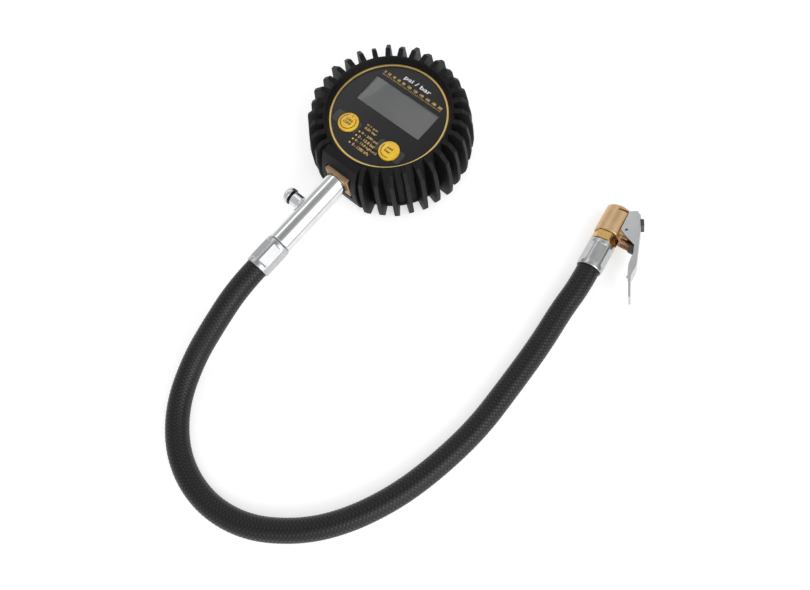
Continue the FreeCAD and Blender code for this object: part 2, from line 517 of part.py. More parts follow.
keep("chuck_seal", put(lathe([(1.9, seat_y - 2.0), (SEAT_R - 0.02, seat_y - 2.0), (SEAT_R - 0.02, seat_y - 0.3), (4.3, seat_y - 0.02),
                              (1.9, seat_y - 0.02)], (0, 0, 0), UP), C))
dep = lathe([(0, GROOVE_Y), (SEAT_R - 0.02, GROOVE_Y), (SEAT_R - 0.02, GROOVE_Y + 1.2), (1.1, GROOVE_Y + 1.2), (1.1, seat_y - 0.3),
             (0.8, seat_y - 0.05), (0, seat_y - 0.05)], (0, 0, 0), UP)
for i in range(4):
    q = cyl(0.7, 3, (2.5 * math.cos(math.pi * i / 2), GROOVE_Y - 1.0, 2.5 * math.sin(math.pi * i / 2)), UP)
    dep = dep.cut(q)
keep("depressor", put(dep, C))


def yx(points):
    return [(x, y) for y, x in points]


def offset(points, d):
    """The (Y, X) line moved by d towards the chuck body."""
    out = []
    for i, p in enumerate(points):
        ds = []
        if i:
            ds.append((p[0] - points[i - 1][0], p[1] - points[i - 1][1]))
        if i < len(points) - 1:
            ds.append((points[i + 1][0] - p[0], points[i + 1][1] - p[1]))
        ns = []
        for a, b in ds:
            l = math.hypot(a, b)
            ns.append((-b / l, a / l))
        nx, ny = sum(n[0] for n in ns) / len(ns), sum(n[1] for n in ns) / len(ns)
        l2 = nx * nx + ny * ny
        out.append((p[0] + d * nx / l2, p[1] + d * ny / l2))
    return out


inner = offset(WEB, SHEET)
web = prism(yx(WEB + inner[::-1]), -EAR_OUT, EAR_OUT)
ears = [prism(yx(WEB[:7] + EAR_TAB + EAR_EDGE), EAR_IN, EAR_OUT), prism(yx(WEB[:7] + EAR_EDGE), -EAR_OUT, -EAR_IN)]
lever = web.fuse(ears).removeSplitter()
lever = lever.cut(cyl(PIN_R + 0.05, 20, (PIN_C[0], PIN_C[1], -10)))
lever = lever.cut(prism(slot_line(8.0, 15.0, 0.45, 0.45), -3.1, 3.1))

# claw: a strip along the outside of the web with a blade turned in through the web, a clamp over it and a rivet
leg_low = [(21.6, 10.04), (17.9, 12.6), (15.0, 14.085)]
clamp_low = [(18.3, 12.323), (17.9, 12.6), (14.7, 14.238)]
leg = prism(yx(leg_low + offset(leg_low, -0.8)[::-1]), -3.0, 3.0)
blade = prism(slot_line(3.2, 11.2, 0.35, 0.35), -3.0, 3.0)
claw = leg.fuse(blade).removeSplitter()
mid_low = (16.45, 13.342)
dl = math.hypot(6.25, 3.2)
n_out = (3.2 / dl, 6.25 / dl)                           # (Y, X) outward from the web
rb = (mid_low[0] - n_out[0] * 2.2, mid_low[1] - n_out[1] * 2.2)
rdir = (n_out[1], n_out[0], 0)
rbase = (rb[1], rb[0], 0)
hole = cyl(1.1, 8, rbase, rdir)
lever = lever.cut(hole)
claw = claw.cut(hole)
claw = claw.cut(cyl(MOUTH_R + 0.03, 4, (0, 16.0, 0), UP))      # concave edge, level with the mouth's wall at rest
clamp_b = offset(clamp_low, -2.0)
clamp_b[0] = offset(clamp_low, -1.35)[0]
clamp = prism(yx(offset(clamp_low, -0.03) + clamp_b[::-1]), -3.45, 3.45)
clamp = fillet_some(clamp, 0.5, lambda e: e.BoundBox.ZLength > 6.5 and e.CenterOfMass.x - e.CenterOfMass.y * -0.512 > 22.6)
clamp = clamp.cut(prism(yx(leg_low + offset(leg_low, -0.82)[::-1]), -3.03, 3.03))
clamp = clamp.cut(hole).cut(cyl(1.85, 4, (rb[1] + rdir[0] * 3.28, rb[0] + rdir[1] * 3.28, 0), rdir))
rivet = lathe([(0, 0.35), (1.9, 0.35), (1.9, 0.98), (1.1, 0.98), (1.1, 3.3), (1.8, 3.3), (1.6, 3.65), (0, 3.75)], rbase, rdir)

# spring between the chuck's collar and a cup inside the web
s_len = math.hypot(*SPRING_DIR)
s_dir = (SPRING_DIR[0] / s_len, SPRING_DIR[1] / s_len, 0)
seat = lathe([(2.6, 6.6), (3.05, 6.6), (3.05, 12.5), (0, 12.5), (0, 8.15), (2.6, 8.15)], (SPRING_O[0], SPRING_O[1], 0), s_dir)
seat = seat.cut(lever)
seat = max(seat.Solids, key=lambda q: -q.CenterOfMass.x)
seat = seat.cut(prism(yx(WEB + offset(WEB, -9.0)[::-1]), -9, 9))
keep("lever", put(lever, C))
keep("claw_plate", put(claw, C))
keep("claw_clamp", put(clamp, C))
keep("claw_rivet", put(rivet, C))
keep("spring_seat", put(seat, C))
keep("pivot_pin", put(lathe([(0, -5.12), (PIN_R, -5.12), (PIN_R, 5.12), (0, 5.12)], (PIN_C[0], PIN_C[1], 0)), C))
spring_place = Placement(V(SPRING_O[0], SPRING_O[1], 0), Rotation(V(0, 0, 1), V(*s_dir)))
keep("lever_spring", put(coil(2.2, 0.7, SPRING_LEN, 9.0, spring_place), C))

# ---------------------------------------------------------------- write
mouth = C.multVec(V(0, CHUCK_Y1, 0))
pivot = C.multVec(V(PIN_C[0], PIN_C[1], 0))
print("mouth centre", tuple(round(v, 4) for v in mouth), "seat", tuple(round(v, 4) for v in C.multVec(V(0, seat_y, 0))))
print("pivot", tuple(round(v, 4) for v in pivot), "axis Z", tuple(round(v, 6) for v in az_))
for name, shape in nodes.items():
    bb = shape.BoundBox
    n = len(shape.Solids)
    ok = shape.isValid() and all(s.isClosed() and s.Volume > 0 for s in shape.Solids)
    if not ok:
        print("BAD", name)
    print("%-20s n=%d vol=%9.1f  x %.1f..%.1f y %.1f..%.1f z %.2f..%.2f faces %d" % (
        name, n, shape.Volume, bb.XMin, bb.XMax, bb.YMin, bb.YMax, bb.ZMin, bb.ZMax, len(shape.Faces)))
    shape.exportStep("parts/%s.step" % name)
print(len(nodes), "nodes")
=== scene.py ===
import json
import math

import bmesh
import bpy
import numpy as np
from mathutils import Matrix, Vector


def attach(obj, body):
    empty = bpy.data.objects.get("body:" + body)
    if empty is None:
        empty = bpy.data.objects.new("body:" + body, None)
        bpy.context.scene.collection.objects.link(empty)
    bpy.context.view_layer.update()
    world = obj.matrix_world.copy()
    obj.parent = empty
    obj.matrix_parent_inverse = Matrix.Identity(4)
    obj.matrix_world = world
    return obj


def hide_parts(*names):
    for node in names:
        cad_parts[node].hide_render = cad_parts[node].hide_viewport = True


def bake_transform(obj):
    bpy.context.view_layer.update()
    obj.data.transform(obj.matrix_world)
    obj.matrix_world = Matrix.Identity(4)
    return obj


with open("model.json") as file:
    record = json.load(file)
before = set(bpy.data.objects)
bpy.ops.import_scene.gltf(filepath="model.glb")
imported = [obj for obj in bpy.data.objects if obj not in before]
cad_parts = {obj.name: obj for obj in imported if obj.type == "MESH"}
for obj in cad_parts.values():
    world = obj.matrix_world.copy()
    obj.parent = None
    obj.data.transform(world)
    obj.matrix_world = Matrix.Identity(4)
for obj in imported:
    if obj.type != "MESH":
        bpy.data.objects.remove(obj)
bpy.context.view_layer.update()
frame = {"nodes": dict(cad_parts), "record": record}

MM = 0.001
ROOT = "gauge_and_hose"
scene = bpy.context.scene
shelf = scene.collection
scene.view_settings.view_transform = "Standard"

# ---------------------------------------------------------------- camera
back = Vector((0.2675, -0.1944, 0.9437)).normalized()
right = Vector((0.7598, 0.6449, -0.0826))
right = (right - right.dot(back) * back).normalized()
up = back.cross(right)
cam_data = bpy.data.cameras.new("camera")
cam_data.sensor_fit = "HORIZONTAL"
cam_data.sensor_width = 36.0
cam_data.lens = 31.06
cam_data.clip_start = 0.01
cam = bpy.data.objects.new("camera", cam_data)
shelf.objects.link(cam)
place = Matrix((right, up, back)).transposed().to_4x4()
place.translation = Vector((0.16826, -0.14198, 0.36515))
cam.matrix_world = place
scene.camera = cam

# ---------------------------------------------------------------- hose line
ROUTE = [(0.0, -0.1097, 0.0245), (0.0, -0.1234, 0.0245), (0.0017, -0.1432, 0.0207), (0.0027, -0.1683, 0.0102),
         (0.0131, -0.1927, 0.0066), (0.0327, -0.2101, 0.0063), (0.0580, -0.2167, 0.0063), (0.0836, -0.2113, 0.0063),
         (0.1055, -0.1953, 0.0063), (0.1204, -0.1761, 0.0063), (0.1315, -0.1517, 0.0063), (0.1377, -0.1271, 0.0063),
         (0.1414, -0.0996, 0.0063), (0.1408, -0.0734, 0.0063), (0.1396, -0.0454, 0.0063), (0.1368, -0.0217, 0.0065),
         (0.136368, -0.007184, 0.00755), (0.134488, 0.004567, 0.00755)]
line_curve = bpy.data.curves.new("hose_line", "CURVE")
line_curve.dimensions = "3D"
line = line_curve.splines.new("NURBS")
line.points.add(len(ROUTE) - 1)
for point, spot in zip(line.points, ROUTE):
    point.co = (*spot, 1.0)
line.order_u = 3
line.use_endpoint_u = True
line_curve.resolution_u = 64
line_obj = bpy.data.objects.new("hose_line", line_curve)
shelf.objects.link(line_obj)
bpy.context.view_layer.update()
line_mesh = bpy.data.meshes.new_from_object(line_obj.evaluated_get(bpy.context.evaluated_depsgraph_get()))
LINE = np.array([v.co[:] for v in line_mesh.vertices])
bpy.data.objects.remove(line_obj)
bpy.data.meshes.remove(line_mesh)

# ---------------------------------------------------------------- materials


def tree(name):
    mat = bpy.data.materials.new(name)
    mat.use_nodes = True
    nt = mat.node_tree
    return mat, nt, nt.nodes["Principled BSDF"]


def coords(nt, scale=(1, 1, 1), turn=(0, 0, 0)):
    """Object coordinates in millimetres, turned and then scaled."""
    tc = nt.nodes.new("ShaderNodeTexCoord")
    mp = nt.nodes.new("ShaderNodeMapping")
    mp.vector_type = "POINT"
    mp.inputs["Rotation"].default_value = turn
    mp.inputs["Scale"].default_value = (1000, 1000, 1000)
    nt.links.new(tc.outputs["Object"], mp.inputs["Vector"])
    m2 = nt.nodes.new("ShaderNodeMapping")
    m2.inputs["Scale"].default_value = scale
    nt.links.new(mp.outputs["Vector"], m2.inputs["Vector"])
    return m2.outputs["Vector"]


def noise(nt, vector, scale, detail=3.0, rough=0.55, distortion=0.0):
    n = nt.nodes.new("ShaderNodeTexNoise")
    n.inputs["Scale"].default_value = scale
    n.inputs["Detail"].default_value = detail
    n.inputs["Roughness"].default_value = rough
    n.inputs["Distortion"].default_value = distortion
    nt.links.new(vector, n.inputs["Vector"])
    return n.outputs["Fac"]


def ramp(nt, value, low, high, a, b):
    """Maps value from low..high to a..b, clamped."""
    m = nt.nodes.new("ShaderNodeMapRange")
    m.inputs["From Min"].default_value = low
    m.inputs["From Max"].default_value = high
    m.inputs["To Min"].default_value = a
    m.inputs["To Max"].default_value = b
    nt.links.new(value, m.inputs["Value"])
    return m.outputs["Result"]


def tint(nt, value, stops):
    r = nt.nodes.new("ShaderNodeValToRGB")
    els = r.color_ramp.elements
    while len(els) < len(stops):
        els.new(0.5)
    for el, (at, c) in zip(els, stops):
        el.position = at
        el.color = (*c, 1.0)
    nt.links.new(value, r.inputs["Fac"])
    return r.outputs["Color"]


def math_node(nt, op, a, b=None):
    m = nt.nodes.new("ShaderNodeMath")
    m.operation = op
    for i, v in enumerate((a, b)):
        if v is None:
            continue
        if isinstance(v, (int, float)):
            m.inputs[i].default_value = v
        else:
            nt.links.new(v, m.inputs[i])
    return m.outputs["Value"]


def bump(nt, bsdf, height, strength, depth):
    b = nt.nodes.new("ShaderNodeBump")
    b.inputs["Strength"].default_value = strength
    b.inputs["Distance"].default_value = depth
    nt.links.new(height, b.inputs["Height"])
    nt.links.new(b.outputs["Normal"], bsdf.inputs["Normal"])


def rubber(name, dark, light, rough=(0.48, 0.66), grain=2.6, strength=0.35, spec=0.5):
    mat, nt, bsdf = tree(name)
    v = coords(nt)
    broad = noise(nt, v, 0.09, 4.0, 0.6)
    fine = noise(nt, v, grain, 3.0, 0.6)
    both = math_node(nt, "ADD", math_node(nt, "MULTIPLY", broad, 0.7), math_node(nt, "MULTIPLY", fine, 0.3))
    nt.links.new(tint(nt, both, [(0.32, dark), (0.68, light)]), bsdf.inputs["Base Color"])
    nt.links.new(ramp(nt, both, 0.3, 0.7, rough[0], rough[1]), bsdf.inputs["Roughness"])
    bsdf.inputs["Specular IOR Level"].default_value = spec
    bump(nt, bsdf, fine, strength, 0.00006)
    return mat


def metal(name, dark, light, rough=(0.2, 0.32), scale=(1, 1, 1), turn=(0, 0, 0), grain=3.0, strength=0.12, depth=0.00003,
          broad=0.15, weight=0.5):
    mat, nt, bsdf = tree(name)
    lines = noise(nt, coords(nt, scale, turn), grain, 4.0, 0.6)
    patch = noise(nt, coords(nt), broad, 3.0, 0.55)
    both = math_node(nt, "ADD", math_node(nt, "MULTIPLY", lines, weight), math_node(nt, "MULTIPLY", patch, 1 - weight))
    nt.links.new(tint(nt, both, [(0.34, dark), (0.66, light)]), bsdf.inputs["Base Color"])
    nt.links.new(ramp(nt, both, 0.3, 0.7, rough[0], rough[1]), bsdf.inputs["Roughness"])
    bsdf.inputs["Metallic"].default_value = 1.0
    bump(nt, bsdf, lines, strength, depth)
    return mat


def plastic(name, dark, light, rough=(0.35, 0.5), grain=6.0, strength=0.15, spec=0.5, coat=0.0):
    mat, nt, bsdf = tree(name)
    v = coords(nt)
    fine = noise(nt, v, grain, 3.0, 0.6)
    broad = noise(nt, v, 0.12, 3.0, 0.6)
    nt.links.new(tint(nt, broad, [(0.3, dark), (0.7, light)]), bsdf.inputs["Base Color"])
    nt.links.new(ramp(nt, fine, 0.3, 0.7, rough[0], rough[1]), bsdf.inputs["Roughness"])
    bsdf.inputs["Specular IOR Level"].default_value = spec
    bsdf.inputs["Coat Weight"].default_value = coat
    bsdf.inputs["Coat Roughness"].default_value = 0.08
    bump(nt, bsdf, fine, strength, 0.00003)
    return mat


CHUCK_TURN = (0.0, 0.0, math.radians(-9.087))      # turns the chuck's axis onto Y

M = {}
M["boot_rubber"] = rubber("boot_rubber", (0.0036, 0.0036, 0.0038), (0.0080, 0.0080, 0.0083), (0.44, 0.60), 2.2, 0.35, 0.18)
M["case_plastic"] = plastic("case_plastic", (0.012, 0.012, 0.012), (0.02, 0.02, 0.02), (0.4, 0.6), 5.0, 0.3)
M["screw_steel"] = metal("screw_steel", (0.5, 0.5, 0.52), (0.66, 0.66, 0.68), (0.25, 0.4))
M["cell_jacket"] = plastic("cell_jacket", (0.16, 0.18, 0.20), (0.22, 0.24, 0.27), (0.25, 0.35), 3.0, 0.1)
M["contact_steel"] = metal("contact_steel", (0.6, 0.58, 0.54), (0.78, 0.76, 0.72), (0.2, 0.35), (1, 1, 8))
M["gold_trim"] = metal("gold_trim", (0.74, 0.51, 0.17), (0.90, 0.67, 0.28), (0.40, 0.52), (1, 1, 6), grain=1.2, strength=0.15)
M["white_plastic"] = plastic("white_plastic", (0.7, 0.7, 0.68), (0.8, 0.8, 0.78), (0.4, 0.55))
M["seal_rubber"] = rubber("seal_rubber", (0.01, 0.01, 0.01), (0.02, 0.02, 0.02), (0.35, 0.5), 4.0, 0.2)
M["board_green"] = plastic("board_green", (0.012, 0.09, 0.03), (0.02, 0.14, 0.05), (0.25, 0.4), 2.0, 0.1)
M["chip_black"] = plastic("chip_black", (0.012, 0.012, 0.012), (0.02, 0.02, 0.02), (0.45, 0.6))
M["sensor_steel"] = metal("sensor_steel", (0.5, 0.5, 0.51), (0.68, 0.68, 0.69), (0.2, 0.35), (1, 8, 1))
M["ribbon"] = plastic("ribbon", (0.35, 0.17, 0.03), (0.45, 0.24, 0.05), (0.25, 0.35), 3.0, 0.1)
M["chrome"] = metal("chrome", (0.68, 0.69, 0.70), (0.78, 0.785, 0.79), (0.045, 0.10), (1, 5, 1), grain=0.8, strength=0.03,
                    depth=0.00002, broad=0.12, weight=0.35)
M["chrome_soft"] = metal("chrome_soft", (0.66, 0.665, 0.68), (0.76, 0.765, 0.78), (0.20, 0.28), grain=1.5, strength=0.05, weight=0.4)
M["spring_steel"] = metal("spring_steel", (0.45, 0.45, 0.46), (0.62, 0.62, 0.63), (0.2, 0.35))
M["ferrule_zinc"] = metal("ferrule_zinc", (0.47, 0.475, 0.485), (0.56, 0.565, 0.57), (0.26, 0.36), (1.0, 0.35, 1.0), grain=1.6,
                          strength=0.06, broad=0.25)
M["hose_rubber"] = rubber("hose_rubber", (0.008, 0.008, 0.008), (0.016, 0.016, 0.016), (0.4, 0.55), 3.0, 0.2)
M["brass"] = metal("brass", (0.60, 0.40, 0.21), (0.74, 0.52, 0.30), (0.38, 0.50), (0.6, 9, 0.6), CHUCK_TURN, grain=1.4,
                   strength=0.16)
M["brass_block"] = metal("brass_block", (0.30, 0.19, 0.11), (0.44, 0.30, 0.19), (0.34, 0.48), (5, 0.6, 0.6), grain=1.2,
                         strength=0.2)
M["brass_hex"] = metal("brass_hex", (0.52, 0.315, 0.10), (0.66, 0.44, 0.17), (0.18, 0.28), (0.6, 6, 0.6), CHUCK_TURN, grain=1.2,
                       strength=0.12)
M["lever_steel"] = metal("lever_steel", (0.50, 0.505, 0.51), (0.56, 0.565, 0.57), (0.26, 0.34), (5, 0.7, 0.7), CHUCK_TURN,
                         grain=0.9, strength=0.05, depth=0.00002)
M["pin_steel"] = metal("pin_steel", (0.16, 0.18, 0.22), (0.28, 0.30, 0.34), (0.3, 0.42), strength=0.08)
# clamp_dark: near-black steel; on the spring seat, a dark cup put in the lever's channel where there is only shade, it
# is painted shade
M["clamp_dark"] = metal("clamp_dark", (0.06, 0.06, 0.065), (0.13, 0.13, 0.14), (0.32, 0.5), strength=0.2)
M["spring_brass"] = metal("spring_brass", (0.26, 0.13, 0.055), (0.42, 0.235, 0.11), (0.25, 0.42), grain=2.0, strength=0.15)
M["print_gold"] = plastic("print_gold", (0.62, 0.40, 0.10), (0.78, 0.54, 0.18), (0.35, 0.5), 6.0, 0.1)
M["print_white"] = plastic("print_white", (0.74, 0.75, 0.78), (0.82, 0.83, 0.85), (0.35, 0.5), 6.0, 0.1)
M["print_grey"] = plastic("print_grey", (0.024, 0.027, 0.025), (0.034, 0.037, 0.034), (0.3, 0.42), 6.0, 0.1)
M["print_dark"] = plastic("print_dark", (0.03, 0.02, 0.006), (0.05, 0.032, 0.010), (0.4, 0.5), 6.0, 0.1)


def face_material():
    mat, nt, bsdf = tree("face_print")
    v = coords(nt)
    fine = noise(nt, v, 7.0, 3.0, 0.6)
    broad = noise(nt, v, 0.05, 2.0, 0.5)
    nt.links.new(tint(nt, broad, [(0.3, (0.0042, 0.0040, 0.0042)), (0.7, (0.0075, 0.0070, 0.0070))]), bsdf.inputs["Base Color"])
    nt.links.new(ramp(nt, fine, 0.3, 0.7, 0.24, 0.32), bsdf.inputs["Roughness"])
    bsdf.inputs["Specular IOR Level"].default_value = 0.4
    bump(nt, bsdf, fine, 0.08, 0.00002)
    return mat


def button_material():
    mat, nt, bsdf = tree("button_yellow")
    v = coords(nt)
    fine = noise(nt, v, 5.0, 3.0, 0.6)
    broad = noise(nt, v, 0.12, 2.0, 0.5)
    nt.links.new(tint(nt, broad, [(0.35, (0.74, 0.42, 0.018)), (0.65, (0.86, 0.54, 0.022))]), bsdf.inputs["Base Color"])
    nt.links.new(ramp(nt, fine, 0.3, 0.7, 0.28, 0.40), bsdf.inputs["Roughness"])
    bsdf.inputs["Coat Weight"].default_value = 0.3
    bsdf.inputs["Coat Roughness"].default_value = 0.2
    bump(nt, bsdf, fine, 0.1, 0.00003)
    return mat


def display_material():
    """Blank reflective display: grey, with a painted reflection that makes it a little lighter towards the lower right.
    """
    mat, nt, bsdf = tree("display_grey")
    tc = nt.nodes.new("ShaderNodeTexCoord")
    sep = nt.nodes.new("ShaderNodeSeparateXYZ")
    nt.links.new(tc.outputs["Object"], sep.inputs["Vector"])
    # painted reflection: a ramp across the display, lighter towards the lower right
    across = math_node(nt, "ADD", math_node(nt, "MULTIPLY", sep.outputs["X"], 20.0), math_node(nt, "MULTIPLY", sep.outputs["Y"], -12.0))
    fine = noise(nt, coords(nt), 4.0, 2.0, 0.5)
    mixed = math_node(nt, "ADD", across, math_node(nt, "MULTIPLY", fine, 0.06))
    nt.links.new(tint(nt, ramp(nt, mixed, -0.55, 0.45, 0.0, 1.0), [(0.0, (0.125, 0.128, 0.128)), (1.0, (0.235, 0.236, 0.232))]),
                 bsdf.inputs["Base Color"])
    nt.links.new(ramp(nt, fine, 0.3, 0.7, 0.3, 0.4), bsdf.inputs["Roughness"])
    return mat


def lens_material():
    mat, nt, bsdf = tree("clear_lens")
    fine = noise(nt, coords(nt), 0.8, 2.0, 0.5)
    nt.links.new(ramp(nt, fine, 0.3, 0.7, 0.02, 0.06), bsdf.inputs["Roughness"])
    nt.links.new(tint(nt, fine, [(0.3, (0.95, 0.96, 0.96)), (0.7, (0.98, 0.985, 0.985))]), bsdf.inputs["Base Color"])
    bsdf.inputs["Transmission Weight"].default_value = 1.0
    bsdf.inputs["IOR"].default_value = 1.4
    bump(nt, bsdf, fine, 0.02, 0.00002)
    return mat


def braid_material():
    """Textile cover: painted shade darkens the valleys between the strands and a painted highlight lightens the crown
    of each strand; a painted sheen makes the strands of one hand a little lighter.
    """
    mat, nt, bsdf = tree("hose_braid")
    rise = nt.nodes.new("ShaderNodeAttribute")
    rise.attribute_name = "rise"
    hand = nt.nodes.new("ShaderNodeAttribute")
    hand.attribute_name = "hand"
    fibre = noise(nt, coords(nt), 9.0, 3.0, 0.65)
    broad = noise(nt, coords(nt), 0.06, 3.0, 0.6)
    # painted shade and highlight from the strand height, painted sheen on one hand of strands
    level = math_node(nt, "ADD", math_node(nt, "MULTIPLY", rise.outputs["Fac"], 0.72), math_node(nt, "MULTIPLY", fibre, 0.2))
    level = math_node(nt, "ADD", level, math_node(nt, "MULTIPLY", hand.outputs["Fac"], 0.10))
    level = math_node(nt, "ADD", level, math_node(nt, "MULTIPLY", broad, 0.10))
    nt.links.new(tint(nt, level, [(0.25, (0.0010, 0.0010, 0.0010)), (0.7, (0.0040, 0.0040, 0.0042)), (1.0, (0.023, 0.023, 0.024))]),
                 bsdf.inputs["Base Color"])
    nt.links.new(ramp(nt, level, 0.35, 1.0, 0.60, 0.27), bsdf.inputs["Roughness"])
    bsdf.inputs["Specular IOR Level"].default_value = 0.32
    bsdf.inputs["Sheen Weight"].default_value = 0.03
    bsdf.inputs["Sheen Roughness"].default_value = 0.4
    bump(nt, bsdf, fibre, 0.3, 0.00008)
    return mat


M["face_print"] = face_material()
M["button_yellow"] = button_material()
M["display_grey"] = display_material()
M["clear_lens"] = lens_material()
M["hose_braid"] = braid_material()

# every carried-over CAD node takes the material of its slot
for part in frame["record"]["subparts"]:
    node = frame["nodes"][part["node"]]
    node.data.materials.clear()
    node.data.materials.append(M[part["material_slot"]])

# ---------------------------------------------------------------- mesh helpers (millimetres)


def emit(name, bm, mats, body=ROOT, replaces=(), place=None, sharp=40.0, weighted=True):
    """A named piece from a bmesh in millimetres, put in the row frame in metres."""
    bmesh.ops.recalc_face_normals(bm, faces=bm.faces)
    bm.transform(Matrix.Scale(MM, 4))
    if place is not None:
        bm.transform(place)
    mesh = bpy.data.meshes.new(name)
    bm.to_mesh(mesh)
    bm.free()
    return dress(name, mesh, mats, body, replaces, sharp, weighted)


def dress(name, mesh, mats, body=ROOT, replaces=(), sharp=40.0, weighted=True):
    mats = [mats] if isinstance(mats, str) else list(mats)
    if len(mesh.materials):
        mesh.materials.clear()
    for m in mats:
        mesh.materials.append(M[m])
    obj = bpy.data.objects.new(name, mesh)
    shelf.objects.link(obj)
    mesh.shade_smooth()
    mesh.set_sharp_from_angle(angle=math.radians(sharp))
    if weighted:
        w = obj.modifiers.new("normals", "WEIGHTED_NORMAL")
        w.keep_sharp = True
        w.weight = 80
    if body:
        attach(obj, body)
    if replaces:
        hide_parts(*replaces)
    return obj


def basis(origin, z, x=None):
    """Matrix whose third axis is z, first axis near x."""
    z = Vector(z).normalized()
    x = Vector(x) if x is not None else (Vector((1, 0, 0)) if abs(z.x) < 0.9 else Vector((0, 1, 0)))
    x = (x - x.dot(z) * z).normalized()
    y = z.cross(x)
    m = Matrix((x, y, z)).transposed().to_4x4()
    m.translation = Vector(origin)
    return m


def lathe(profile, origin=(0, 0, 0), z=(0, 0, 1), segments=96, ring=False):
    """Turned solid in millimetres: profile is (radius, height) pairs; ring closes the profile on itself."""
    bm = bmesh.new()
    rows = []
    for r, h in profile:
        if r <= 1e-6:
            rows.append([bm.verts.new((0, 0, h))])
        else:
            rows.append([bm.verts.new((r * math.cos(2 * math.pi * i / segments), r * math.sin(2 * math.pi * i / segments), h))
                         for i in range(segments)])
    pairs = list(zip(rows, rows[1:]))
    if ring:
        pairs.append((rows[-1], rows[0]))
    for a, b in pairs:
        for i in range(segments):
            j = (i + 1) % segments
            if len(a) == 1 and len(b) == 1:
                continue
            if len(a) == 1:
                bm.faces.new((a[0], b[i], b[j]))
            elif len(b) == 1:
                bm.faces.new((a[i], b[0], a[j]))
            else:
                bm.faces.new((a[i], b[i], b[j], a[j]))
    bmesh.ops.recalc_face_normals(bm, faces=bm.faces)
    bm.transform(basis(origin, z))
    return bm


def prism(points, z0, z1):
    """Upright prism over (x, y) points in millimetres."""
    bm = bmesh.new()
    low = [bm.verts.new((x, y, z0)) for x, y in points]
    high = [bm.verts.new((x, y, z1)) for x, y in points]
    bm.faces.new(low[::-1])
    bm.faces.new(high)
    n = len(points)
    for i in range(n):
        j = (i + 1) % n
        bm.faces.new((low[i], low[j], high[j], high[i]))
    bmesh.ops.recalc_face_normals(bm, faces=bm.faces)
    return bm


def brick(x0, x1, y0, y1, z0, z1):
    return prism([(x0, y0), (x1, y0), (x1, y1), (x0, y1)], z0, z1)


def soften(bm, width, segments=2, angle=30.0, test=None):
    """Rounds the edges whose faces meet at more than angle."""
    limit = math.radians(angle)
    edges = [e for e in bm.edges if len(e.link_faces) == 2 and e.calc_face_angle(0.0) > limit and (test is None or test(e))]
    if edges:
        bmesh.ops.bevel(bm, geom=edges, offset=width, offset_type="OFFSET", segments=segments, profile=0.5, affect="EDGES",
                        clamp_overlap=True)
    bmesh.ops.recalc_face_normals(bm, faces=bm.faces)
    return bm


def temp(bm):
    mesh = bpy.data.meshes.new("temp")
    bm.to_mesh(mesh)
    bm.free()
    obj = bpy.data.objects.new("temp", mesh)
    shelf.objects.link(obj)
    return obj


def combine(first, steps):
    """Boolean of bmeshes: steps are ("UNION" or "DIFFERENCE" or "INTERSECT", bmesh). Returns a new bmesh."""
    base = temp(first)
    tools = []
    for op, bm in steps:
        tool = temp(bm)
        tools.append(tool)
        mod = base.modifiers.new("cut", "BOOLEAN")
        mod.operation = op
        mod.solver = "MANIFOLD"
        mod.object = tool
    bpy.context.view_layer.update()
    done = bpy.data.meshes.new_from_object(base.evaluated_get(bpy.context.evaluated_depsgraph_get()))
    out = bmesh.new()
    out.from_mesh(done)
    for o in [base] + tools:
        old = o.data
        bpy.data.objects.remove(o)
        bpy.data.meshes.remove(old)
    bpy.data.meshes.remove(done)
    return out


def merged(*bms):
    """One bmesh that holds several separate shells."""
    out = bmesh.new()
    for bm in bms:
        mesh = bpy.data.meshes.new("temp")
        bm.to_mesh(mesh)
        bm.free()
        out.from_mesh(mesh)
        bpy.data.meshes.remove(mesh)
    return out


def tidy(bm, distance=0.002, flat=2.0):
    """Welds stray points and joins flat neighbours, so that an edge can be rounded."""
    bmesh.ops.remove_doubles(bm, verts=bm.verts, dist=distance)
    bmesh.ops.dissolve_limit(bm, angle_limit=math.radians(flat), verts=bm.verts, edges=bm.edges)
    return bm


# ---------------------------------------------------------------- hose: a braided tube on the line
HOSE_R = 6.22
CARRIERS = 12                 # strands of each hand
PITCH = 2.04                  # one strand to the next along the hose
RELIEF = 0.27


